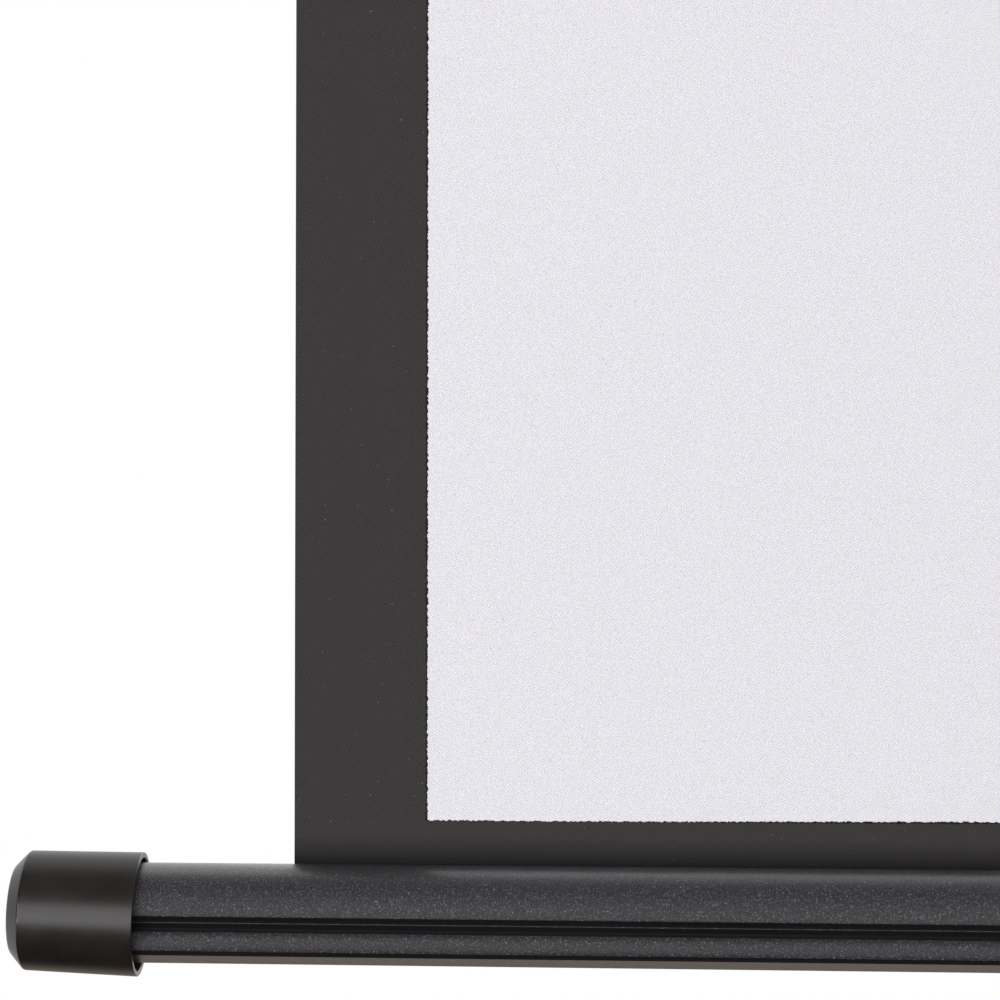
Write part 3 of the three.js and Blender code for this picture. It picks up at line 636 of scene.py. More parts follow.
@dataclass(frozen=True)
class TwillCloth(Finish):
    """Polyester twill, coated black: shallow diagonal ribs and pale flecks.

    The ribs follow a wave of 20 radians a unit, with a little wander as thread has.
    """

    rib_pitch: float = 0.5 * MM
    rib_degrees: float = 32
    rib_depth: float = 0.06 * MM
    # Painted shade: the rib colour darkens the valleys between the ribs.
    rib_valley_painted_shade: str = "1f1c1b"
    rib_valley_shading: Ramp = (0.1, 0.9, 0.6, 0)
    fleck: str = "8f8882"
    fleck_size: float = 1 * MM
    flecks: Ramp = (0.70, 0.78, 0, 0.6)

    def coordinates(self, tree: bpy.types.NodeTree) -> Socket:
        """The cloth's own places, across and up, which stay on it when it is rolled up."""
        return add_node(tree, "ShaderNodeAttribute", attribute_name=CLOTH_PLACE).outputs["Vector"]

    def ribs(self, on: Dressing) -> Socket:
        """The ribs' height, from 0 to 1."""
        turn = math.radians(-90 - self.rib_degrees)
        lay = add_node(on.tree, "ShaderNodeMapping", {"Rotation": (0, 0, turn)}, {"Vector": on.place})
        wave = add_node(on.tree, "ShaderNodeTexWave", {
            "Scale": FULL_TURN / 20 / self.rib_pitch, "Distortion": 1.5, "Detail": 1.0, "Detail Scale": 2.0,
        }, {"Vector": lay.outputs["Vector"]}, bands_direction="X")
        return wave.outputs["Fac"]

    def black(self, on: Dressing, ribs: Socket) -> Socket:
        """The colour of the black cloth, with painted shade in the valleys between the ribs."""
        shaded = on.lay(on.spread(ribs, *self.rib_valley_shading), self.colour, self.rib_valley_painted_shade)
        return on.lay(on.spread(on.grain(self.fleck_size, 3.0), *self.flecks), shaded, self.fleck)

    def dress(self, on: Dressing) -> None:
        """The black cloth and its ribs."""
        ribs = self.ribs(on)
        on.feed("Base Color", self.black(on, ribs))
        on.raise_by(ribs, self.rib_depth)


@dataclass(frozen=True)
class HemWithPaintedShade(TwillCloth):
    """The black cloth of the hem, with painted shade that darkens it towards the bar, where the bar's
    barrel keeps the low light off it.
    """

    # Painted shade: from 847.5 mm down to 842.5 mm the cloth darkens towards the bar.
    painted_shade_heights: Ramp = (842.5 * MM, 847.5 * MM, 0.7, 0)
    painted_shade_colour: str = "100e0e"

    def dress(self, on: Dressing) -> None:
        """The black cloth with a band of painted shade just above the bar."""
        ribs = self.ribs(on)
        height = add_node(on.tree, "ShaderNodeSeparateXYZ", links={0: on.place}).outputs["Y"]
        on.feed("Base Color", on.lay(on.spread(height, *self.painted_shade_heights), self.black(on, ribs), self.painted_shade_colour))
        on.raise_by(ribs, self.rib_depth)


@dataclass(frozen=True)
class PrintedFace(TwillCloth):
    """The front of the cloth: a matte white image area inside a black border with a ragged printed edge."""

    half_width: float = 609.5 * MM
    bottom: float = 851.22 * MM
    sway: float = 0.28 * MM
    sway_length: float = 250 * MM
    sway_from: float = -530 * MM
    top: float = 1764.9 * MM
    white: str = "efedf3"
    speck: str = "c4bfc4"
    speck_size: float = 0.9 * MM
    specks: Ramp = (0.69, 0.76, 0, 0.6)
    edge_line: str = "1a1818"
    edge_width: float = 0.45 * MM
    ragged_size: float = 0.8 * MM
    ragged: Ramp = (0.3, 0.7, -0.17 * MM, 0.17 * MM)

    def dress(self, on: Dressing) -> None:
        """Measures how far inside the image area a point is, and lays white there."""
        ribs = self.ribs(on)
        axes = add_node(on.tree, "ShaderNodeSeparateXYZ", links={0: on.place})
        aside = on.sum("SUBTRACT", self.half_width, on.sum("ABSOLUTE", axes.outputs["X"], 0))
        turns = on.sum("DIVIDE", on.sum("SUBTRACT", axes.outputs["X"], self.sway_from), self.sway_length)
        swayed = on.sum("MULTIPLY", on.sum("SINE", on.sum("MULTIPLY", turns, FULL_TURN), 0), self.sway)
        above = on.sum("SUBTRACT", on.sum("SUBTRACT", axes.outputs["Y"], self.bottom), swayed)
        below = on.sum("SUBTRACT", self.top, axes.outputs["Y"])
        wander = on.spread(on.grain(self.ragged_size, 1.0), *self.ragged)
        inside = on.sum("ADD", on.sum("MINIMUM", aside, on.sum("MINIMUM", above, below)), wander)
        line = on.spread(inside, -self.edge_width, -self.edge_width * 0.5)
        lined = on.lay(line, self.black(on, ribs), self.edge_line)
        white = on.lay(on.spread(on.grain(self.speck_size, 2.0), *self.specks), self.white, self.speck)
        on.feed("Base Color", on.lay(on.spread(inside, 0, self.edge_width * 0.3), lined, white))
        on.raise_by(ribs, self.rib_depth)


BAR_COAT = SandyPowderCoat("sandy_powder_coat", "bar_powder_coat", "302e32", roughness=0.6)
# Painted shade: the bar's grooves and the underside of its lower lobe are painted near black, where shade
# falls.
GROOVE_PAINTED_SHADE = SmoothPowderCoat("painted_shade_in_grooves", "bar_powder_coat", "171618", roughness=0.75,
                               gloss=0.15, patch_colour="1d1c1e")
CAP_PLASTIC = MouldedPlastic("satin_abs_caps", "black_plastic", "1e1a18", roughness=0.33)
CAP_EDGE = MouldedPlastic("burnished_abs_edges", "black_plastic", "1d1a19", roughness=0.08)
BLACK_NYLON = MouldedPlastic("moulded_nylon", "black_plastic", "19191a", roughness=0.42)
CLOTH_LOOK = {"colour": "434040", "roughness": 0.85, "gloss": 0.25}
BLACK_CLOTH = TwillCloth("black_twill", "black_fabric", **CLOTH_LOOK)
# The hem's cloth carries painted shade just above the bar.
HEM_CLOTH = HemWithPaintedShade("hem_with_painted_shade", "black_fabric", **CLOTH_LOOK)
PRINTED_CLOTH = PrintedFace("printed_screen_face", "white_coating", **CLOTH_LOOK)
CASE_ENAMEL = SmoothPowderCoat("case_enamel", "case_enamel", "1f1f21", roughness=0.36)
TUBE_COAT = SmoothPowderCoat("tube_powder_coat", "black_tube", "1b1b1d", roughness=0.4)
ZINC_UPRIGHT = PlatedSteel("zinc_plate_upright", "zinc_steel", "b9bbbd", roughness=0.3, metallic=1)
ZINC_ACROSS = replace(ZINC_UPRIGHT, name="zinc_plate_across", along=Axis.X)
ZINC_DEEP = replace(ZINC_UPRIGHT, name="zinc_plate_deep", roughness=0.32, along=Axis.Y)
SPRING_STEEL = PlatedSteel("oil_tempered_steel", "spring_steel", "7d8084", roughness=0.35, metallic=1,
                           along=Axis.X)
ROLLER_STEEL = PlatedSteel("galvanised_sheet", "roller_steel", "a2a4a6", roughness=0.38, metallic=1,
                           along=Axis.X)
RUBBER = MouldedRubber("moulded_rubber", "rubber", "151516", roughness=0.85, gloss=0.3)


# Places


def middle(node: str) -> Vector:
    """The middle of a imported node's box."""
    low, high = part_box(node)
    return (low + high) / 2


def top_of(node: str) -> float:
    """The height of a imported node's top."""
    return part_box(node)[1].z


def bottom_of(node: str) -> float:
    """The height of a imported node's underside."""
    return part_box(node)[0].z


MAST = Vector((0, middle("inner_tube").y, 0))
CASE = middle("roller_tube")
FABRIC_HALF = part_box("screen_backing")[1].x
FABRIC_Y = middle("screen_backing").y
HEM_TOP = top_of("hem_strip")
SEAT_GAP = 0.1 * MM
FIT_GAP = 0.3 * MM
RUN_GAP = 0.5 * MM


def piece(bm: Mesh, name: str, finishes: Finish | Sequence[Finish], body: str,
          replaces: Sequence[str] = (), flats: bool = True, sharp: float = 40) -> bpy.types.Object:
    """Finishes a mesh as one of the object's pieces.

    Args:
        bm: The mesh at its place, which is freed.
        name: The piece's name.
        finishes: Its finish, or several where its faces name them by number.
        body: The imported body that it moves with.
        replaces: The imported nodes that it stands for.
        flats: Whether its flat faces are kept flat beside their rounded edges.
        sharp: The least angle, in degrees, that stays a hard edge.

    Returns:
        The new object.
    """
    mesh = to_mesh(bm, name)
    mesh.shade_smooth()
    mesh.set_sharp_from_angle(angle=math.radians(sharp))
    layers = [finishes] if isinstance(finishes, Finish) else finishes
    for finish in layers:
        mesh.materials.append(finish.material())
    made = in_scene(name, mesh)
    if flats:
        made.modifiers.new("flat_faces", "WEIGHTED_NORMAL").keep_sharp = True
    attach(made, body)
    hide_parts(*replaces)
    log.info("%s rides on %s with %d faces", name, body, len(mesh.polygons))
    return made


def lay_cloth_places(made: bpy.types.Object) -> None:
    """Keeps each point's place on the cloth, across and up, for the weave to follow."""
    places = made.data.attributes.new(CLOTH_PLACE, "FLOAT_VECTOR", "POINT")
    for vert, place in zip(made.data.vertices, places.data):
        place.vector = (vert.co.x, vert.co.z, 0)


# Sub-assemblies


@dataclass(frozen=True)
class WeightBar:
    """The extruded bar with its round end caps, the fabric's hem in its slot, and the pull handle."""

    height: float = 22.1 * MM
    barrel_radius: float = 10 * MM
    slot_back: float = 4 * MM
    slot_width: float = 2 * MM
    hollow_radius: float = 6.6 * MM
    hollow_back: float = 1 * MM
    hollow_rise: float = 1 * MM
    barrel_end_share: float = 0.47
    bare_length: float = 34.1 * MM
    cap_length: float = 25.4 * MM
    cap_rim_radius: float = 13.8 * MM
    cap_end_radius: float = 13.3 * MM
    cap_wall: float = 1.2 * MM
    cap_floor: float = 1.5 * MM
    cap_rise: float = 0.3 * MM
    cap_droop_degrees: float = 2
    cap_slew_degrees: float = 3.3
    spigot_length: float = 18 * MM
    hem_rod_radius: float = 2.4 * MM
    hem_rod_rise: float = 0.6 * MM
    hem_fold: float = 0.5 * MM
    cloth_thickness: float = 0.45 * MM
    bracket_plate: float = 3 * MM
    bracket_lug: float = 4 * MM
    bracket_drop: float = 8 * MM
    handle_wire: float = 2 * MM
    handle_bend: float = 2.2 * MM
    body: str = "weight_bar"
    lower_moulding_shares: Profile = (
        (0.4515, 0.475), (0.4495, 0.480), (0.4455, 0.484), (0.432, 0.4955), (0.416, 0.509),
        (0.402, 0.5205), (0.394, 0.528), (0.392, 0.533), (0.394, 0.537), (0.4005, 0.5395),
        (0.408, 0.541), (0.4115, 0.5430), (0.4125, 0.5462), (0.4115, 0.5494), (0.4075, 0.5525),
        (0.394, 0.564), (0.376, 0.579), (0.358, 0.593), (0.345, 0.604), (0.339, 0.6125),
        (0.340, 0.621), (0.348, 0.632), (0.361, 0.645), (0.375, 0.660), (0.386, 0.678),
        (0.394, 0.700), (0.399, 0.727), (0.401, 0.757), (0.400, 0.787), (0.395, 0.812),
        (0.386, 0.832), (0.373, 0.848), (0.358, 0.861), (0.340, 0.8735), (0.318, 0.8865),
        (0.285, 0.903), (0.225, 0.932), (0.165, 0.962), (0.125, 0.982), (0.112, 0.9885),
        (0.103, 0.993), (0.090, 0.9975), (0.075, 1.0),
    )
    # Bands of the bar's height, as shares from the top, whose front faces take painted shade: under the
    # barrel, in the cove and under the lobe.
    painted_shade_shares: Profile = ((0.481, 0.541), (0.5535, 0.641), (0.838, 0.893))
    painted_shade_depth_share: float = 0.31
    cap_end_profile: Profile = (
        (0 * MM, 3.2 * MM), (9.2 * MM, 3.2 * MM), (9.8 * MM, 3.1 * MM), (10.2 * MM, 2.82 * MM),
    )
    cap_edge_profile: Profile = (
        (12.92 * MM, 0.36 * MM), (13.08 * MM, 0.2 * MM), (13.2 * MM, 0.03 * MM), (13.27 * MM, -0.15 * MM),
        (13.3 * MM, -0.34 * MM),
    )

    @property
    def centre(self) -> Vector:
        """The middle of the bar, a little in front of the fabric."""
        return Vector((0, FABRIC_Y - self.slot_back, bottom_of("weight_bar") + self.height / 2))

    @property
    def rise(self) -> float:
        """How far the barrel's middle lies above the bar's."""
        return self.height / 2 - self.barrel_radius

    def build(self) -> None:
        """Makes the bar and everything that moves with it."""
        self.extrusion()
        for side in Side:
            self.cap(side)
        self.hem()
        self.pull_handle()

    def extrusion(self) -> None:
        """The bar: an open barrel over a moulded lower lobe."""
        half = self.slot_width / 2
        back = [(-y, z) for y, z in reversed(self.face(self.slot_back + half))]
        reach = self.slot_back - self.hollow_back
        mouth = [90 - math.degrees(math.asin((reach + lip) / self.hollow_radius)) for lip in (half, -half)]
        inside = arc((self.hollow_back, self.rise + self.hollow_rise), self.hollow_radius,
                     mouth[0], mouth[1] - 360, 40)
        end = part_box("weight_bar")[1].x
        bar = prism(self.face(half - self.slot_back) + back + inside, -end, end, Axis.X)
        # Front faces in the shaded bands get the near-black painted shade; the rest get the sandy coat.
        for face in bar.faces:
            fall = 0.5 - face.calc_center_median().z / self.height
            outside = abs(face.calc_center_median().y) > self.painted_shade_depth_share * self.height
            in_painted_shade = any(low < fall < high for low, high in self.painted_shade_shares)
            face.material_index = int(outside and in_painted_shade)
        piece(placed(bar, self.centre), "bar_extrusion", [BAR_COAT, GROOVE_PAINTED_SHADE], self.body,
              ["weight_bar"], flats=False)

    def face(self, lip: float) -> Outline:
        """The front's outline, from a lip of the slot down to the middle of the underside.

        Args:
            lip: How far the lip lies in front of the crest.
        """
        top = self.height / 2
        drop = self.rise - top + self.barrel_end_share * self.height
        start = 90 + math.degrees(math.asin(lip / self.barrel_radius))
        end = 180 + math.degrees(math.asin(drop / self.barrel_radius))
        moulding = [(-depth * self.height, top - fall * self.height)
                    for depth, fall in self.lower_moulding_shares]
        return arc((0, self.rise), self.barrel_radius, start, end, 36) + moulding

    def cap(self, side: Side) -> None:
        """One end cap: a drafted cup with a chamfered end, on a spigot in the barrel."""
        inner = self.cap_end_radius - self.cap_wall
        cup = turned([
            *self.cap_end_profile, *self.cap_edge_profile, (self.cap_rim_radius, -self.cap_length),
            (self.cap_rim_radius - self.cap_wall, -self.cap_length), (inner, -self.cap_floor),
            (0, -self.cap_floor),
        ], Axis.X, 128)
        soften(cup, 0.25 * MM)
        edge_x = [x for _, x in self.cap_edge_profile]
        for face in cup.faces:
            middle_point = face.calc_center_median()
            outside = math.hypot(middle_point.y, middle_point.z) > self.cap_edge_profile[0][0]
            face.material_index = int(outside and edge_x[-1] < middle_point.x < edge_x[0])
        shift = (0, self.cap_length * math.sin(math.radians(self.cap_slew_degrees)) / 2, self.cap_rise)
        placed(cup, shift, about("Z", self.cap_slew_degrees) @ about("Y", -self.cap_droop_degrees))
        spigot = rod(self.hollow_radius - RUN_GAP, -self.spigot_length, 0, Axis.X)
        placed(spigot, (0, side.value * self.hollow_back, self.rise + self.hollow_rise))
        end = FABRIC_HALF + self.bare_length + self.cap_length
        place = self.centre + Vector((side.value * end, 0, 0))
        whole = placed(combined(cup, [spigot]), place, side.turn)
        piece(whole, f"bar_end_cap_{side.word}", [CAP_PLASTIC, CAP_EDGE], self.body,
              [f"bar_cap_{side.word}"], sharp=30)

    def hem(self) -> None:
        """The fabric's hem goes through the slot and round a rod that can't come back out."""
        inner = self.hem_rod_radius + FIT_GAP
        outer = inner + self.hem_fold
        half = self.cloth_thickness / 2
        neck = math.degrees(math.asin(half / outer))
        rise = self.rise + self.hollow_rise + self.hem_rod_rise
        rod_place = self.centre + Vector((0, self.slot_back, rise))
        strip_top = HEM_TOP - rod_place.z
        outline = [(-half, strip_top), *arc((0, 0), outer, 90 + neck, 450 - neck, 40), (half, strip_top)]
        pocket = rod(inner, -FABRIC_HALF - RUN_GAP, FABRIC_HALF + RUN_GAP, Axis.X)
        cloth = combined(prism(outline, -FABRIC_HALF, FABRIC_HALF, Axis.X), cuts=[pocket])
        hem = piece(placed(cloth, rod_place), "fabric_hem", HEM_CLOTH, self.body,
                    ["hem_strip"], flats=False)
        lay_cloth_places(hem)
        bar = soften(rod(self.hem_rod_radius, -FABRIC_HALF, FABRIC_HALF, Axis.X), 0.3 * MM)
        piece(placed(bar, rod_place), "hem_steel_rod", ZINC_ACROSS, self.body, ["hem_rod"])

    def pull_handle(self) -> None:
        """A wire bail in two lugs under the middle of the bar."""
        low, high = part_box("pull_bracket")
        bail_low, bail_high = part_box("pull_handle")
        wire = self.handle_wire
        seat = (0, self.centre.y, bail_high.z - wire)
        inner = high.x - self.bracket_plate - self.bracket_lug
        plate_foot = high.z - self.bracket_plate
        foot = plate_foot - self.bracket_drop
        base = soften(block((low.x, low.y, plate_foot), high), 1.2 * MM, only=stands_upright)
        lugs = []
        for side in Side:
            ends = sorted((side.value * inner, side.value * (inner + self.bracket_lug)))
            ear = block((ends[0], low.y, foot), (ends[1], high.y, high.z - self.bracket_plate / 2))
            lugs.append(soften(ear, 3.5 * MM, segments=6, only=across_at(foot)))
        bore = placed(rod(wire + FIT_GAP, low.x - RUN_GAP, high.x + RUN_GAP, Axis.X), seat)
        piece(soften(combined(base, lugs, [bore]), 0.4 * MM), "pull_handle_bracket", BLACK_NYLON, self.body,
              ["pull_bracket"])
        drop = seat[2] - bail_low.z - wire
        handle = soften(bail(inner - wire - FIT_GAP, drop, self.handle_bend, bail_high.x, wire), 0.5 * MM)
        piece(placed(handle, seat), "pull_handle_wire", ZINC_ACROSS, "pull_handle", ["pull_handle"])


def stands_upright(edge: bmesh.types.BMEdge) -> bool:
    """Whether an edge runs along Z."""
    way = edge.verts[1].co - edge.verts[0].co
    return abs(way.z) > ALONG_SHARE * way.length


def across_at(height: float) -> Callable[[bmesh.types.BMEdge], bool]:
    """A test for edges along X at one height."""
    def test(edge: bmesh.types.BMEdge) -> bool:
        """Whether the edge lies there."""
        way = edge.verts[1].co - edge.verts[0].co
        level = all(abs(v.co.z - height) < LEVEL_GAP for v in edge.verts)
        return level and abs(way.x) > ALONG_SHARE * way.length
    return test


@dataclass(frozen=True)
class ScreenCloth:
    """The hung sheet: black-backed cloth whose front carries the white image area and its border."""

    thickness: float = 0.45 * MM
    wave: float = 0.5 * MM
    wave_length: float = 310 * MM
    across: int = 72
    up: int = 90
    packed_share: float = 0.022
    hold_power: float = 0.5
    drift: float = 2.5

    def build(self, hem: bpy.types.Object) -> None:
        """Makes the sheet from the bar's border up to the roller.

        Args:
            hem: The hem piece that goes with it; not used.
        """
        bottom = HEM_TOP
        top = CASE.z
        length = top - bottom
        bm = bmesh.new()
        bmesh.ops.create_grid(bm, x_segments=self.across, y_segments=self.up, size=0.5)
        moved(bm, about("X", 90) @ Matrix.Diagonal((2 * FABRIC_HALF, length, 1, 1)))
        for vert in bm.verts:
            share = vert.co.z / length + 0.5
            free = math.sin(math.pi * min(max(share, 0), 1)) ** self.hold_power
            turns = FULL_TURN * vert.co.x / self.wave_length + self.drift * share
            vert.co.y += self.wave * free * math.sin(turns)
        bmesh.ops.solidify(outward(bm), geom=bm.faces, thickness=self.thickness)
        outward(bm)
        low = min(v.co.y for v in bm.verts if abs(v.co.z + length / 2) < MM)
        placed(bm, (0, FABRIC_Y - self.thickness / 2 - low, (bottom + top) / 2))
        for face in bm.faces:
            face.material_index = 0 if face.normal.y < -0.5 else 1
        sheet = piece(bm, "screen_cloth", [PRINTED_CLOTH, BLACK_CLOTH], "case",
                      ["screen_backing", "projection_face"], flats=False)
        lay_cloth_places(sheet)
        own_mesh(sheet)


@dataclass(frozen=True)
class RollerCase:
    """The long case: a slotted shell, its end caps, and the roller with its spring and ratchet."""

    depth: float = 56 * MM
    height: float = 58 * MM
    corner: float = 9 * MM
    wall: float = 1.6 * MM
    slot_width: float = 8 * MM
    cap_plate: float = 8 * MM
    cap_skirt: float = 2 * MM
    cap_lap: float = 14 * MM
    boss_radius: float = 9 * MM
    boss_length: float = 16 * MM
    panel_margin: float = 6 * MM
    panel_depth: float = 0.8 * MM
    screw_spread: float = 15 * MM
    screw_profile: Profile = (
        (0, 1.7 * MM), (1.6 * MM, 1.55 * MM), (2.8 * MM, 1.05 * MM), (3.6 * MM, 0.2 * MM),
        (3.6 * MM, -0.2 * MM), (0, -0.2 * MM),
    )
    cross_half: float = 0.4 * MM
    cross_reach: float = 1.9 * MM
    cross_floor: float = 0.7 * MM
    tube_wall: float = 1.2 * MM
    wraps_thickness: float = MM
    plug_length: float = 22 * MM
    plug_flange: float = 3 * MM
    shaft_radii: tuple[float, float] = (4 * MM, 4.5 * MM)
    anchor_bore: float = 4.8 * MM
    spring_wire: float = 0.9 * MM
    spring_radius: float = 9 * MM
    spring_turns: int = 14
    spring_steps: int = 32
    body: str = "case"

    def build(self) -> None:
        """Makes the case and what turns inside it."""
        self.shell()
        for side in Side:
            self.end_cap(side)
        self.roller()
        self.spring()

    def shell(self) -> None:
        """Sheet bent round from one lip of the fabric slot to the other."""
        half_depth, half_height = self.depth / 2, self.height / 2
        centre = Vector((0, middle("case_shell").y, CASE.z))
        slot = FABRIC_Y - centre.y
        front, back = slot - self.slot_width / 2, slot + self.slot_width / 2
        outer = round_box_outline(half_depth, half_height, self.corner)
        inner = round_box_outline(half_depth - self.wall, half_height - self.wall, self.corner - self.wall)
        outline = [(back, -half_height), *outer, (front, -half_height), (front, self.wall - half_height),
                   *reversed(inner), (back, self.wall - half_height)]
        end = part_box("case_shell")[1].x
        shell = placed(prism(outline, -end, end, Axis.X), centre)
        piece(shell, "case_housing", CASE_ENAMEL, self.body, ["case_shell"])

    def end_cap(self, side: Side) -> None:
        """One end cap: a plate with a shallow panel, a skirt over the shell and a boss for the pin."""
        def layer(inset: float, start: float, end: float) -> Mesh:
            """A prism of the cap's outline, drawn in by an inset."""
            outline = round_box_outline(self.depth / 2 + self.cap_skirt - inset,
                                        self.height / 2 + self.cap_skirt - inset,
                                        self.corner + self.cap_skirt - min(inset, self.panel_margin / 2))
            return prism(outline, start, end, Axis.X)

        rim = self.cap_plate - LEVEL_GAP
        cover = soften(layer(0, -self.cap_lap, self.cap_plate), 2.5 * MM, segments=6,
                       only=lambda e: min(v.co.x for v in e.verts) > rim)
        panel = layer(self.panel_margin, self.cap_plate - self.panel_depth, self.cap_plate + MM)
        pocket = layer(self.cap_skirt - FIT_GAP, -self.cap_lap - MM, 0)
        hollow = combined(cover, cuts=[panel, pocket])
        boss = rod(self.boss_radius, -self.boss_length, self.cap_plate / 2, Axis.X)
        pin = "idle_pin" if side is Side.LEFT else "spring_spindle"
        low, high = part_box(pin)
        bore = rod((high.y - low.y) / 2 + FIT_GAP, -self.boss_length - MM, self.cap_plate / 2, Axis.X)
        whole = combined(hollow, [boss], [bore])
        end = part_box("case_shell")[1].x + FIT_GAP
        place = Vector((side.value * end, middle("case_shell").y, CASE.z))
        piece(placed(whole, place, side.turn), f"case_end_cap_{side.word}", BLACK_NYLON, self.body,
              [f"case_cap_{side.word}"])
        self.cap_screws(side, place)

    def cap_screws(self, side: Side, place: Vector) -> None:
        """Two cross-head screws in the end cap's panel."""
        floor = self.cap_plate - self.panel_depth
        low, high = floor + self.cross_floor, floor + 3 * MM
        arms = ((self.cross_half, self.cross_reach), (self.cross_reach, self.cross_half))
        screws = []
        for up in (-1, 1):
            dome = turned([(radius, floor + rise) for radius, rise in self.screw_profile], Axis.X, 40)
            cross = [block((low, -across, -tall), (high, across, tall)) for across, tall in arms]
            screws.append(placed(combined(dome, cuts=cross), (0, 0, up * self.screw_spread)))
        piece(placed(gathered(screws), place, side.turn), f"case_cap_screws_{side.word}", ZINC_DEEP,
              self.body)

    def roller(self) -> None:
        """The tube with the last turns of fabric on it, plugged at both ends, on its fixed shafts."""
        def part(node: str, inner: float, name: str, finish: Finish, body: str) -> None:
            """One turned part along the roller's axis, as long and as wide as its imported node."""
            low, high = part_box(node)
            outer = (high.z - low.z) / 2
            shape = (tube(inner, outer, low.x, high.x, Axis.X, 72) if inner
                     else rod(outer, low.x, high.x, Axis.X))
            piece(placed(soften(shape, 0.3 * MM), (0, CASE.y, CASE.z)), name, finish, body, [node])

        radius = (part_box("roller_tube")[1].z - bottom_of("roller_tube")) / 2
        bore = radius - self.tube_wall
        part("roller_tube", bore, "roller_barrel", ROLLER_STEEL, "roller")
        part("idle_pin", 0, "roller_idle_pin", ZINC_ACROSS, self.body)
        part("spring_spindle", 0, "roller_spindle", ZINC_ACROSS, self.body)
        part("spring_anchor", self.anchor_bore, "spring_anchor_sleeve", BLACK_NYLON, self.body)
        outer = radius + self.wraps_thickness
        wraps = tube(radius + SEAT_GAP, outer, -FABRIC_HALF, FABRIC_HALF, Axis.X, 96)
        wound = piece(placed(wraps, (0, CASE.y, CASE.z)), "fabric_turns", BLACK_CLOTH, "roller",
                      ["fabric_wraps"], flats=False)
        lay_cloth_places(wound)
        for side, shaft in zip(Side, self.shaft_radii):
            hole, fit = shaft + FIT_GAP, bore - FIT_GAP
            plug = turned([(hole, -self.plug_length), (fit, -self.plug_length), (fit, FIT_GAP),
                           (radius, FIT_GAP), (radius, self.plug_flange), (hole, self.plug_flange)],
                          Axis.X, 72, closed=True)
            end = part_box("roller_tube")[1].x * side.value
            piece(placed(soften(plug, 0.4 * MM), (end, CASE.y, CASE.z), side.turn),
                  f"roller_end_plug_{side.word}", BLACK_NYLON, "roller", [f"roller_plug_{side.word}"])

    def spring(self) -> None:
        """The torsion spring's turns inside the roller, and the ratchet's wheel and pawl."""
        low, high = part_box("torsion_spring")
        wire, curls, steps = self.spring_wire, self.spring_turns, self.spring_steps
        bm = bmesh.new()
        start = Matrix.Translation((low.x + wire, 0, self.spring_radius))
        bmesh.ops.create_circle(bm, cap_ends=True, radius=wire, segments=10,
                                matrix=start @ about("X", 90))
        pitch = (high.x - low.x - 2 * wire) / curls
        bmesh.ops.spin(bm, geom=list(bm.faces), cent=(0, 0, 0), axis=(1, 0, 0), dvec=(pitch / steps, 0, 0),
                       angle=FULL_TURN * curls, steps=steps * curls, use_duplicate=False)
        piece(placed(outward(bm), (0, CASE.y, CASE.z)), "roller_spring", SPRING_STEEL, self.body,
              ["torsion_spring"], flats=False)
        for node, finish in (("ratchet_wheel", ZINC_ACROSS), ("ratchet_pawl", SPRING_STEEL)):
            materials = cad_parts[node].data.materials
            materials.clear()
            materials.append(finish.material())


@dataclass(frozen=True)
class CarryHandle:
    """The handle on top of the case: two lugs, a bent rod and a soft grip."""

    rod_radius: float = 3 * MM
    bend: float = 6 * MM
    grip_radius: float = 7 * MM
    grip_length: float = 84 * MM
    grip_collar: float = 4 * MM
    groove_depth: float = 0.7 * MM
    painted_shade_shares: tuple[float, float] = (0.3, 0.7)
    ribs: int = 14

    def build(self) -> None:
        """Makes the lugs, the rod and the grip."""
        low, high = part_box("carry_handle")
        pivot = Vector((0, high.y - self.rod_radius, middle("carry_handle").z))
        reach = high.y - low.y - 2 * self.rod_radius
        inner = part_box("handle_lug_right")[0].x
        shape = bail(inner - self.bend - FIT_GAP, reach, self.bend, high.x, self.rod_radius)
        flat = about("X", -90)
        piece(placed(soften(shape, 0.8 * MM), pivot, flat), "carry_handle_rod", TUBE_COAT, "carry_handle",
              ["carry_handle"])
        bore, radius, half = self.rod_radius + FIT_GAP, self.grip_radius, self.grip_length / 2
        valley = radius - self.groove_depth
        pitch = (self.grip_length - 2 * self.grip_collar) / self.ribs
        outline = [(bore, -half), (radius, -half)]
        for number in range(self.ribs):
            start = -half + self.grip_collar + number * pitch
            outline.append((radius, start))
            outline += [(valley, start + share * pitch) for share in self.painted_shade_shares]
        outline += [(radius, half - self.grip_collar), (radius, half), (bore, half)]
        grip = soften(turned(outline, Axis.X, 64, closed=True), 0.8 * MM)
        piece(placed(grip, pivot - Vector((0, reach, 0))), "carry_handle_grip", RUBBER, "carry_handle",
              ["handle_grip"])
        for side in Side:
            self.lug(side, pivot)

    def lug(self, side: Side, pivot: Vector) -> None:
        """One lug, rounded over the rod."""
        node = f"handle_lug_{side.word}"
        low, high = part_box(node)
        ear = block(low, high)
        soften(ear, 5 * MM, segments=8, only=across_at(high.z))
        bore = placed(rod(self.rod_radius + FIT_GAP, low.x - MM, high.x + MM, Axis.X), pivot)
        piece(soften(combined(ear, cuts=[bore]), 0.5 * MM), f"case_handle_lug_{side.word}",
              BLACK_NYLON, "case", [node])


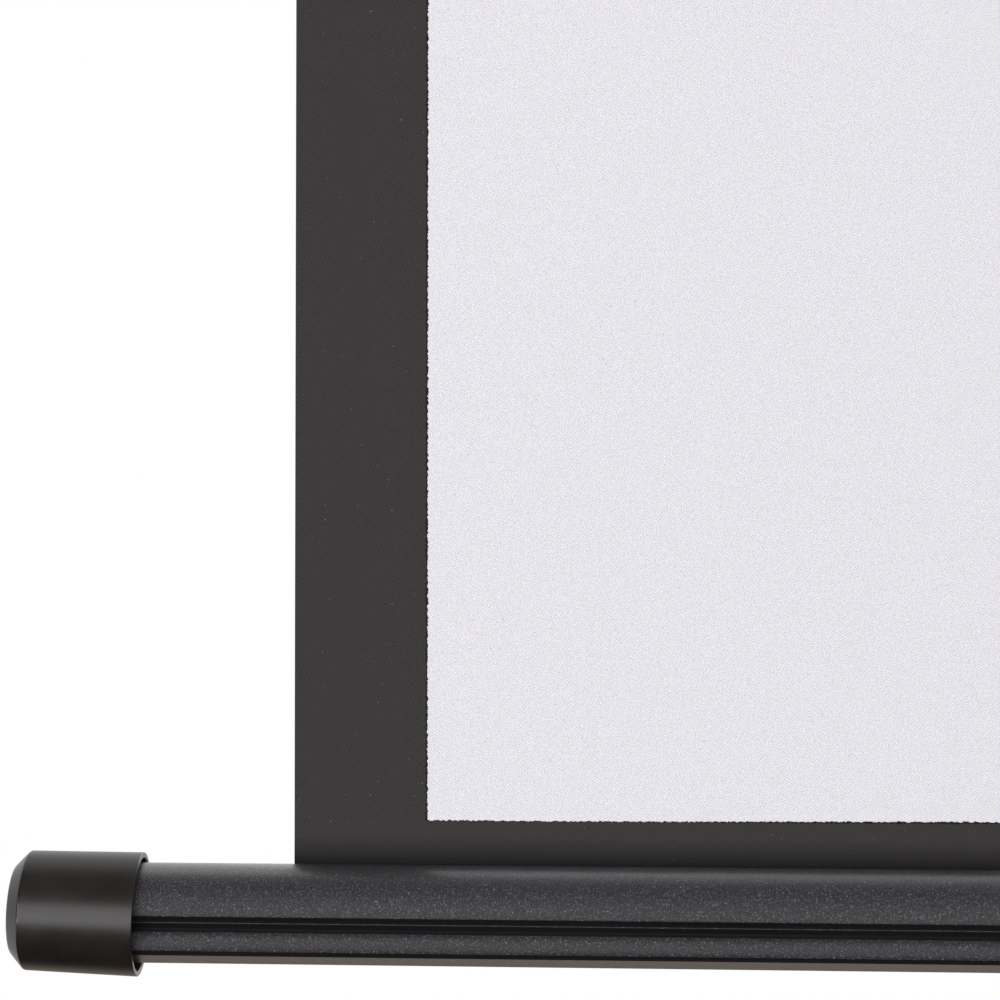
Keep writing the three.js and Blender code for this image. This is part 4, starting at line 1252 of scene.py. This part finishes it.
@dataclass(frozen=True)
class Knob:
    """A six-lobed clamping knob with a neck and a stud."""

    radius: float = 16 * MM
    lobe_depth: float = 2.2 * MM
    lobes: int = 6
    thickness: float = 13 * MM
    neck_radius: float = 8 * MM
    neck_length: float = 8 * MM
    stud_radius: float = 3.5 * MM
    lobe_steps: int = 20
    dish_profile: Profile = (
        (0, -1.2 * MM), (6.5 * MM, -1.2 * MM), (7.4 * MM, MM), (0, MM),
    )
    button_profile: Profile = (
        (0, -0.3 * MM), (4.2 * MM, -0.6 * MM), (5.4 * MM, -1.4 * MM), (0, -1.4 * MM),
    )

    def shape(self, tip: float) -> Mesh:
        """The knob along +Z, its stud reaching tip behind its seat."""
        outline: Outline = []
        steps = self.lobes * self.lobe_steps
        for step in range(steps):
            angle = FULL_TURN * step / steps
            radius = self.radius - self.lobe_depth * (1 - math.cos(self.lobes * angle)) / 2
            outline.append((radius * math.cos(angle), radius * math.sin(angle)))
        top = self.neck_length + self.thickness
        star = soften(prism(outline, self.neck_length, top, Axis.Z), 2.2 * MM, segments=6)
        dish, button = (turned([(radius, top + rise) for radius, rise in profile])
                        for profile in (self.dish_profile, self.button_profile))
        neck = soften(rod(self.neck_radius, 0, self.neck_length + MM), 0.6 * MM)
        stud = soften(rod(self.stud_radius, -tip, self.neck_length), 0.6 * MM)
        return combined(combined(star, cuts=[dish]), [button, neck, stud])


@dataclass(frozen=True)
class Mast:
    """Two telescoping tubes with their clamp, foot plug and bush, and the head that the case turns on."""

    outer_radius: float = 16 * MM
    inner_radius: float = 12.5 * MM
    wall: float = 1.5 * MM
    clamp_wall: float = 6 * MM
    clamp_lip: float = 4 * MM
    clamp_waist: float = 1.2 * MM
    clamp_foot_ring: tuple[float, float] = (5 * MM, 7 * MM)
    clamp_top_ring: tuple[float, float] = (8 * MM, 6 * MM)
    head_radius: float = 17 * MM
    boss_half_width: float = 15 * MM
    boss_half_height: float = 17 * MM
    boss_corner: float = 5 * MM
    stud_radius: float = 5 * MM
    plate_thickness: float = 5 * MM
    plate_corner: float = 6 * MM
    rivet_profile: Profile = (
        (0, 2.2 * MM), (2.2 * MM, 1.8 * MM), (4 * MM, 0), (0, 0),
    )
    rivet_across: float = 45 * MM
    rivet_up: float = 14 * MM
    nut_radius: float = 9 * MM
    nut_bevel_share: float = 0.86
    nut_bevel_height: float = 0.8 * MM
    knob: Knob = Knob()

    def build(self) -> None:
        """Makes the tubes and everything on them."""
        self.tubes()
        self.clamp()
        self.head()
        self.swivel()

    def tubes(self) -> None:
        """Both tubes, the glide, the bush and the foot plug."""
        def part(node: str, shape: Mesh, name: str, finish: Finish, body: str) -> None:
            """One part on the mast's axis."""
            piece(placed(soften(shape, 0.4 * MM), MAST), name, finish, body, [node])

        low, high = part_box("outer_tube")
        bore = self.outer_radius - self.wall
        part("outer_tube", tube(bore, self.outer_radius, low.z, high.z, steps=96), "mast_outer_tube",
             TUBE_COAT, "stand")
        low_in, high_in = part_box("inner_tube")
        slim = self.inner_radius - self.wall
        part("inner_tube", tube(slim, self.inner_radius, low_in.z, high_in.z, steps=96), "mast_inner_tube",
             ZINC_UPRIGHT, "mast")
        glide_low, glide_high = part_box("inner_tube_glide")
        sleeve, plug = bore - FIT_GAP, slim - FIT_GAP
        shoulder = low_in.z - FIT_GAP
        part("inner_tube_glide", turned([
            (0, glide_low.z), (sleeve, glide_low.z), (sleeve, shoulder), (plug, shoulder),
            (plug, glide_high.z), (0, glide_high.z)]), "mast_glide", BLACK_NYLON, "mast")
        bush_low, bush_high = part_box("mast_bush")
        part("mast_bush", tube(self.inner_radius + FIT_GAP, sleeve, bush_low.z, bush_high.z),
             "mast_guide_bush", BLACK_NYLON, "stand")
        foot_low, foot_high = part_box("tube_foot_plug")
        rim = low.z - SEAT_GAP
        part("tube_foot_plug", turned([
            (0, foot_low.z), (self.outer_radius, foot_low.z), (self.outer_radius, rim), (sleeve, rim),
            (sleeve, foot_high.z), (0, foot_high.z)]), "mast_foot_plug", BLACK_NYLON, "stand")

    def clamp(self) -> None:
        """The clamp over the outer tube's mouth, and its knob behind."""
        low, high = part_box("mast_clamp")
        outer = self.outer_radius + self.clamp_wall
        fit, step = self.outer_radius + FIT_GAP, high.z - self.clamp_lip + SEAT_GAP
        neck = self.inner_radius + RUN_GAP
        waist = outer - self.clamp_waist
        foot, top = self.clamp_foot_ring, self.clamp_top_ring
        sleeve = soften(turned([
            (fit, low.z), (outer, low.z), (outer, low.z + foot[0]), (waist, low.z + foot[1]),
            (waist, high.z - top[0]), (outer, high.z - top[1]), (outer, high.z), (neck, high.z),
            (neck, step), (fit, step)], steps=96, closed=True), 1.2 * MM)
        height = middle("clamp_knob").z
        reach = outer + self.clamp_wall
        boss_root = self.outer_radius + self.clamp_wall / 2
        boss = placed(rod(self.knob.neck_radius, boss_root, reach, Axis.Y), (0, 0, height))
        hole = placed(rod(self.knob.stud_radius + FIT_GAP, 0, reach + MM, Axis.Y), (0, 0, height))
        whole = soften(combined(sleeve, [boss], [hole]), 0.5 * MM)
        piece(placed(whole, MAST), "mast_clamp_sleeve", BLACK_NYLON, "stand", ["mast_clamp"])
        seat = MAST + Vector((0, reach + RUN_GAP, height))
        knob = placed(self.knob.shape(reach - self.inner_radius), seat, Axis.Y.lie())
        piece(knob, "mast_clamp_knob", BLACK_NYLON, "clamp_knob", ["clamp_knob"])

    def head(self) -> None:
        """The head: a socket over the tube's top with a boss towards the case."""
        low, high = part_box("mast_head")
        socket = soften(rod(self.head_radius, low.z, high.z, steps=96), 3 * MM, segments=5)
        front = low.y - MAST.y
        outline = round_box_outline(self.boss_half_width, self.boss_half_height, self.boss_corner)
        boss = soften(placed(prism(outline, front, 0, Axis.Y), (0, 0, CASE.z)), MM)
        tube_hole = rod(self.inner_radius + FIT_GAP, low.z - MM, top_of("inner_tube") + FIT_GAP)
        bore = rod(self.stud_radius + FIT_GAP, front - MM, self.head_radius + MM, Axis.Y)
        stud_hole = placed(bore, (0, 0, CASE.z))
        whole = combined(socket, [boss], [tube_hole, stud_hole])
        piece(placed(whole, MAST), "mast_head_block", BLACK_NYLON, "mast", ["mast_head"])

    def swivel(self) -> None:
        """The plate on the back of the case, its stud through the head, and the nut."""
        low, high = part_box("swivel_plate")
        front = low.y - MAST.y
        face = front + self.plate_thickness
        seat = MAST + Vector((0, 0, CASE.z))
        outline = round_box_outline(high.x, (high.z - low.z) / 2, self.plate_corner)
        plate = soften(prism(outline, front, face, Axis.Y), 0.8 * MM)
        stud_root = front + self.plate_thickness / 2
        stud = soften(rod(self.stud_radius, stud_root, high.y - MAST.y, Axis.Y), 0.8 * MM)
        piece(placed(combined(plate, [stud]), seat), "case_swivel_plate", ZINC_DEEP, "case",
              ["swivel_plate"])
        rivets = []
        for across in (-self.rivet_across, self.rivet_across):
            for up in (-self.rivet_up, self.rivet_up):
                head = turned([(radius, face + rise) for radius, rise in self.rivet_profile], Axis.Y, 32)
                rivets.append(placed(head, (across, 0, up)))
        piece(placed(gathered(rivets), seat), "swivel_plate_rivets", ZINC_DEEP, "case")
        nut_low, nut_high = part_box("swivel_nut")
        start, end = nut_low.y - MAST.y, nut_high.y - MAST.y
        flat, bevel = self.nut_radius * self.nut_bevel_share, self.nut_bevel_height
        nut = turned([(0, start), (flat, start), (self.nut_radius, start + bevel),
                      (self.nut_radius, end - bevel), (flat, end), (0, end)], Axis.Y, 6)
        bore = rod(self.stud_radius + FIT_GAP, start - MM, end + MM, Axis.Y)
        hexagon = soften(combined(nut, cuts=[bore]), 0.3 * MM, sharper_than=50)
        piece(placed(hexagon, seat), "case_swivel_nut", ZINC_DEEP, "case", ["swivel_nut"])


@dataclass(frozen=True)
class Tripod:
    """The hub, three legs with their braces and feet, and the collar that the braces slide on."""

    open_degrees: float = 40
    leg_length: float = 600 * MM
    leg_radius: float = 9.5 * MM
    leg_wall: float = 1.4 * MM
    leg_offset: float = 18 * MM
    leg_rise: float = 10 * MM
    pivot_radius: float = 36 * MM
    brace_length: float = 150 * MM
    brace_thickness: float = 6 * MM
    brace_width: float = 12 * MM
    channel_wall: float = 1.6 * MM
    channel_lip: float = 6 * MM
    barrel_radius: float = 22 * MM
    mast_radius: float = 16 * MM
    ear_radius: float = 7 * MM
    ear_thickness: float = 4 * MM
    ear_root: float = 3 * MM
    pin_radius: float = 2.5 * MM
    pin_head_radius: float = 4.2 * MM
    pin_head_length: float = 1.8 * MM
    foot_radius: float = 13 * MM
    foot_depth: float = 26 * MM
    foot_ribs: int = 4
    foot_rib_start: float = 4 * MM
    foot_rib_pitch: float = 5 * MM
    foot_rib_steps: Profile = (
        (0, 0), (0.8 * MM, 0.8 * MM), (0.8 * MM, 1.8 * MM), (0, 2.6 * MM),
    )
    knob_bite: float = 0.2 * MM
    pin_head_steps: Profile = ((0, 0), (0.5, 0.15 * MM), (0.85, 0.6 * MM))
    pin_head_rim: float = 0.3 * MM
    stud_root_share: float = 0.6
    azimuths: tuple[float, ...] = (90, 210, 330)
    knob: Knob = Knob()

    @property
    def channel_width(self) -> float:
        """The outer width of a leg's bracket."""
        return self.brace_thickness + 2 * (FIT_GAP + self.channel_wall)

    def build(self) -> None:
        """Makes the hub, the collar and the three legs."""
        pin_gap = self.channel_width + 2 * FIT_GAP
        hub = self.eared_barrel("leg_hub", pin_gap)
        piece(hub, "tripod_hub", BLACK_NYLON, "stand", ["leg_hub"])
        collar = self.eared_barrel("brace_collar", self.brace_thickness + 2 * FIT_GAP, self.pin_head_length)
        centre = MAST + Vector((0, 0, middle("brace_collar").z))
        hole = placed(rod(self.knob.stud_radius + FIT_GAP, -self.barrel_radius - MM, 0, Axis.Y), centre)
        piece(combined(collar, cuts=[hole]), "tripod_collar", BLACK_NYLON, "collar",
              ["brace_collar"])
        knob = moved(self.knob.shape(self.barrel_radius - self.mast_radius + self.knob_bite), Axis.Y.lie())
        seat = centre - Vector((0, self.barrel_radius + RUN_GAP, 0))
        piece(placed(knob, seat, about("Z", 180)), "tripod_collar_knob", BLACK_NYLON,
              "collar_knob", ["collar_knob"])
        for number, azimuth in enumerate(self.azimuths, start=1):
            self.leg(number, azimuth)

    def eared_barrel(self, node: str, span: float, stud: float = 0) -> Mesh:
        """A barrel on the mast with a pair of ears for each leg.

        Args:
            node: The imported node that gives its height.
            span: The gap between the ears of a pair.
            stud: How far the moulded pin heads stand out from the ears, if it has them.

        Returns:
            The mesh at its place.
        """
        low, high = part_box(node)
        barrel = soften(rod(self.barrel_radius, low.z, high.z, steps=96), 1.5 * MM, segments=4)
        root = self.barrel_radius - self.ear_root
        outline = [(root, -self.ear_radius), *arc((self.pivot_radius, 0), self.ear_radius, -90, 90, 20),
                   (root, self.ear_radius)]
        ears = []
        for azimuth in self.azimuths:
            turn = about("Z", azimuth)
            for side in Side:
                ends = sorted((side.value * span / 2, side.value * (span / 2 + self.ear_thickness)))
                ear = soften(prism(outline, ends[0], ends[1], Axis.Y), 0.6 * MM)
                ears.append(placed(placed(ear, (0, 0, middle(node).z)), turn=turn))
                if stud:
                    tip = span / 2 + self.ear_thickness + stud
                    ends = sorted((side.value * span * self.stud_root_share, side.value * tip))
                    head = soften(rod(self.pin_head_radius, ends[0], ends[1], Axis.Y), 0.5 * MM)
                    placed(head, (self.pivot_radius, 0, middle(node).z))
                    ears.append(placed(head, turn=turn))
        bore = rod(self.mast_radius + FIT_GAP, low.z - MM, high.z + MM, steps=96)
        return placed(combined(barrel, ears, [bore]), MAST)

    def leg(self, number: int, azimuth: float) -> None:
        """One leg: its local X points away from the mast and its local -Z runs down the leg."""
        pivot = (self.pivot_radius, 0, middle(f"hub_pin_{number}").z)
        hub = Matrix.Translation(MAST) @ about("Z", azimuth) @ Matrix.Translation(pivot)
        leg = hub @ about("Y", -self.open_degrees)

        def part(shape: Mesh, name: str, finish: Finish, body: str, node: str,
                 lie: Matrix = leg) -> None:
            """One of the leg's parts, moved from the leg's frame to its place."""
            piece(moved(shape, lie), f"{name}_{number}", finish, body, [f"{node}_{number}"])

        body = f"leg_{number}"
        length = self.leg_length
        pipe = tube(self.leg_radius - self.leg_wall, self.leg_radius, -length, self.leg_rise)
        part(placed(soften(pipe, 0.4 * MM), (self.leg_offset, 0, 0)), "tripod_leg", TUBE_COAT, body,
             "leg_tube")
        part(self.bracket(), "tripod_leg_bracket", ZINC_UPRIGHT, body, "leg_bracket")
        grip = self.channel_width + 2 * FIT_GAP + 2 * self.ear_thickness
        part(self.pin(grip), "tripod_hub_pin", ZINC_DEEP, "stand", "hub_pin", hub)
        part(placed(self.pin(self.channel_width + FIT_GAP), (0, 0, -self.brace_length)), "tripod_brace_pin",
             ZINC_DEEP, body, "brace_pin")
        part(self.foot(leg), "tripod_foot", RUBBER, body, "leg_foot")
        tie = leg @ Matrix.Translation((0, 0, -self.brace_length)) @ about("Y", 2 * self.open_degrees)
        part(self.brace(), "tripod_brace", ZINC_UPRIGHT, f"brace_{number}", "brace", tie)

    def bracket(self) -> Mesh:
        """A folded channel on the inner side of the leg, with both pivots through it."""
        web = self.leg_offset - self.leg_radius - FIT_GAP
        half = self.channel_width / 2
        low, high = -self.brace_length - self.channel_lip, self.channel_lip
        body = block((-self.channel_lip, -half, low), (web, half, high))
        soften(body, 5 * MM, segments=6, only=lambda e: all(v.co.x < 0 for v in e.verts)
               and abs(e.verts[0].co.y - e.verts[1].co.y) > half)
        soften(body, 1.2 * MM, segments=4, only=lambda e: all(v.co.x > web - LEVEL_GAP for v in e.verts)
               and abs(e.verts[0].co.z - e.verts[1].co.z) > half)
        gap = half - self.channel_wall
        trough = block((-self.channel_lip - MM, -gap, low - MM), (web - self.channel_wall, gap, high + MM))
        bores = [placed(rod(self.pin_radius + FIT_GAP, -half - MM, half + MM, Axis.Y, 24), (0, 0, z))
                 for z in (0, -self.brace_length)]
        return soften(combined(body, cuts=[trough, *bores]), 0.25 * MM, segments=2)

    def pin(self, grip: float) -> Mesh:
        """A pin with a domed head at each end, just clear of what it holds."""
        half = grip / 2 + FIT_GAP
        end, head = half + self.pin_head_length, self.pin_head_radius
        low = [(head * share, -end + rise) for share, rise in self.pin_head_steps]
        low += [(head, -half - self.pin_head_rim), (head, -half), (self.pin_radius, -half)]
        return turned([*low, *((radius, -height) for radius, height in reversed(low))], Axis.Y, 32)

    def foot(self, leg: Matrix) -> Mesh:
        """The rubber foot: a ribbed ball-ended cap, worn flat where it stands on the floor."""
        socket = self.leg_radius + FIT_GAP
        outline = arc((0, 0), self.foot_radius, -90, 0, 14)
        for rib in range(self.foot_ribs):
            start = self.foot_rib_start + rib * self.foot_rib_pitch
            outline += [(self.foot_radius - depth, start + rise) for depth, rise in self.foot_rib_steps]
        outline += [(self.foot_radius, self.foot_depth), (socket, self.foot_depth), (socket, -FIT_GAP),
                    (0, -FIT_GAP)]
        outline[0] = (0, -self.foot_radius)
        cap = soften(turned(outline, steps=72), 1.2 * MM, 80)
        placed(cap, (self.leg_offset, 0, -self.leg_length))
        floor = leg.inverted()
        point, up = floor @ Vector((0, 0, 0)), floor.to_3x3() @ Vector((0, 0, 1))
        cutoff = bmesh.ops.bisect_plane(cap, geom=[*cap.verts, *cap.edges, *cap.faces], plane_co=point,
                                        plane_no=up, clear_inner=True)["geom_cut"]
        bmesh.ops.contextual_create(cap, geom=picked(cutoff, bmesh.types.BMEdge))
        return outward(cap)

    def brace(self) -> Mesh:
        """A flat bar with round ends and a hole at each."""
        half = self.brace_width / 2
        outline = [*arc((0, 0), half, 0, 180, 24), *arc((0, -self.brace_length), half, 180, 360, 24)]
        bar = prism(outline, -self.brace_thickness / 2, self.brace_thickness / 2, Axis.Y)
        bores = [placed(rod(self.pin_radius + FIT_GAP, -half, half, Axis.Y, 32), (0, 0, z))
                 for z in (0, -self.brace_length)]
        return soften(combined(bar, cuts=bores), 0.7 * MM)


@dataclass(frozen=True)
class Softbox:
    """A rectangular soft light, aimed at a point, which shows in gloss unless it only fills shadows."""

    name: str
    place: tuple[float, float, float]
    target: tuple[float, float, float]
    size: tuple[float, float]
    power: float
    mirrored: bool = True

    def hang(self) -> None:
        """Puts the light in the scene."""
        light = bpy.data.lights.new(self.name, "AREA")
        light.shape = "RECTANGLE"
        light.size, light.size_y = self.size
        light.energy = self.power
        made = in_scene(self.name, light)
        made.location = self.place
        made.visible_glossy = self.mirrored
        way = Vector(self.target) - Vector(self.place)
        made.rotation_euler = way.to_track_quat("-Z", "Y").to_euler()


SOFTBOXES = (
    Softbox("front_softbox", (-0.7, -2.5, 0.9), (-0.4, -0.2, 0.9), (3.6, 1.5), 48),
    Softbox("high_softbox", (-0.8, -2.0, 2.1), (-0.5, -0.2, 0.9), (1.8, 0.8), 6, mirrored=False),
    Softbox("side_softbox", (-1.9, -1.0, 0.95), (-0.6, -0.2, 0.95), (0.5, 1.0), 3.5),
    Softbox("back_softbox", (0.2, 2.4, 2.3), (0, 0, 1.0), (2.4, 1.6), 24),
)


@dataclass(frozen=True)
class Studio:
    """The floor, the soft lights and the camera."""

    camera_place: tuple[float, float, float] = (-548.4 * MM, -758.1 * MM, 907.5 * MM)
    camera_left_degrees: float = 4.471
    camera_up_degrees: float = 1.516
    lens: float = 92.25
    sensor: float = 36
    clip: tuple[float, float] = (0.01, 50)
    floor_radius: float = 9
    floor_drop: float = 0.2 * MM
    floor_colour: str = "f1f1f1"
    floor_bounce: str = "7a7a7a"
    # How the floor glows in gloss: a painted reflection, dim in front of the screen and brighter behind it.
    floor_glow_in_gloss: str = "ffeddc"
    floor_glow_step: tuple[float, float] = (0.18, 0.32)
    front_floor_glow: float = 0.03
    rear_floor_glow: float = 0.5
    near_white: float = 0.55
    white_seen: tuple[float, float] = (0.9, 2.4)
    white_in_gloss: tuple[float, float] = (1.6, 3.2)
    sky_step: tuple[float, float] = (-0.25, 0.35)
    dim_front: float = 0.15
    ambient: float = 0.2
    white: str = "ffffff"

    def build(self) -> None:
        """Makes the whole studio."""
        bpy.context.scene.view_settings.view_transform = "Standard"
        self.camera()
        self.floor()
        self.world()
        for softbox in SOFTBOXES:
            softbox.hang()

    def camera(self) -> None:
        """The camera at the photograph's viewing angle, fitted to the edges of the bar and the fabric."""
        lens = bpy.data.cameras.new("camera")
        lens.lens, lens.sensor_width = self.lens, self.sensor
        lens.clip_start, lens.clip_end = self.clip
        camera = in_scene("camera", lens)
        camera.location = self.camera_place
        camera.rotation_euler = (math.radians(90 + self.camera_up_degrees), 0,
                                 math.radians(self.camera_left_degrees))
        bpy.context.scene.camera = camera

    def floor(self) -> None:
        """A pale floor that keeps the object's shadow and is plain white further out; in gloss it glows
        instead, a painted reflection that is dim in front and brighter behind.
        """
        bm = bmesh.new()
        bmesh.ops.create_circle(bm, cap_ends=True, radius=self.floor_radius, segments=96)
        mesh = to_mesh(bm, "floor")
        made = bpy.data.materials.new("studio_floor")
        made.use_nodes = True
        tree = made.node_tree
        tree.nodes.clear()
        rays = add_node(tree, "ShaderNodeLightPath")
        pale = add_node(tree, "ShaderNodeBsdfDiffuse", {"Color": linear(self.floor_colour)})
        dull = add_node(tree, "ShaderNodeBsdfDiffuse", {"Color": linear(self.floor_bounce)})
        white = add_node(tree, "ShaderNodeEmission", {"Color": linear(self.white), "Strength": 1})
        place = add_node(tree, "ShaderNodeTexCoord").outputs["Object"]
        depth = add_node(tree, "ShaderNodeSeparateXYZ", links={0: place}).outputs["Y"]
        # Painted reflection: seen in gloss, the floor glows instead of being lit, dim in front of the
        # screen and brighter behind it.
        behind = self.eased(tree, depth, self.floor_glow_step, self.front_floor_glow, self.rear_floor_glow)
        mirrored = add_node(tree, "ShaderNodeEmission", {"Color": linear(self.floor_glow_in_gloss)},
                            {"Strength": behind})
        away = add_node(tree, "ShaderNodeVectorMath", links={0: place}, operation="LENGTH").outputs["Value"]
        seen = self.eased(tree, away, self.white_seen, self.near_white)
        shown = add_node(tree, "ShaderNodeMath", links={0: seen, 1: self.seen_straight(tree, rays)},
                         operation="MULTIPLY").outputs[0]
        in_gloss = rays.outputs["Is Glossy Ray"]
        share = add_node(tree, "ShaderNodeMix", links={
            0: in_gloss, 2: shown, 3: self.eased(tree, away, self.white_in_gloss)}).outputs[0]
        layers = ((rays.outputs["Is Diffuse Ray"], dull), (in_gloss, mirrored), (share, white))
        laid = pale
        for how_much, over in layers:
            links = {0: how_much, 1: laid.outputs[0], 2: over.outputs[0]}
            laid = add_node(tree, "ShaderNodeMixShader", links=links)
        add_node(tree, "ShaderNodeOutputMaterial", links={"Surface": laid.outputs[0]})
        mesh.materials.append(made)
        floor = in_scene("floor", mesh)
        floor.location.z = -self.floor_drop

    def eased(self, tree: bpy.types.NodeTree, source: Socket, between: tuple[float, float],
              low: float = 0, high: float = 1) -> Socket:
        """A level that goes from low to high while a socket passes between two values."""
        values = {"From Min": between[0], "From Max": between[1], "To Min": low, "To Max": high}
        return add_node(tree, "ShaderNodeMapRange", values, {"Value": source},
                        interpolation_type="SMOOTHSTEP").outputs["Result"]

    def seen_straight(self, tree: bpy.types.NodeTree, rays: bpy.types.Node) -> Socket:
        """Whether a ray comes from the camera, or through something clear."""
        return add_node(tree, "ShaderNodeMath", links={0: rays.outputs["Is Camera Ray"],
                                                       1: rays.outputs["Is Transmission Ray"]},
                        operation="MAXIMUM").outputs[0]

    def world(self) -> None:
        """White where it is seen; as a light it is white behind the screen and dimmer before it."""
        made = bpy.data.worlds.new("studio")
        bpy.context.scene.world = made
        made.use_nodes = True
        tree = made.node_tree
        tree.nodes.clear()
        way = add_node(tree, "ShaderNodeTexCoord").outputs["Generated"]
        depth = add_node(tree, "ShaderNodeSeparateXYZ", links={0: way}).outputs["Y"]
        rays = add_node(tree, "ShaderNodeLightPath")
        level = add_node(tree, "ShaderNodeMix", {2: self.ambient}, {
            0: rays.outputs["Is Glossy Ray"], 3: self.eased(tree, depth, self.sky_step, self.dim_front)})
        strength = add_node(tree, "ShaderNodeMix", {3: 1.0}, {0: self.seen_straight(tree, rays),
                                                              2: level.outputs[0]})
        sky = add_node(tree, "ShaderNodeBackground", {"Color": linear(self.white)},
                       {"Strength": strength.outputs[0]})
        add_node(tree, "ShaderNodeOutputWorld", links={"Surface": sky.outputs[0]})


def main() -> None:
    """Builds the studio and the object, one sub-assembly after the other."""
    logging.basicConfig(level=logging.INFO, format="%(name)s: %(message)s")
    Studio().build()
    WeightBar().build()
    ScreenCloth().build(bpy.data.objects["fabric_hem"])
    RollerCase().build()
    CarryHandle().build()
    Mast().build()
    Tripod().build()


if __name__ == "__main__":
    main()
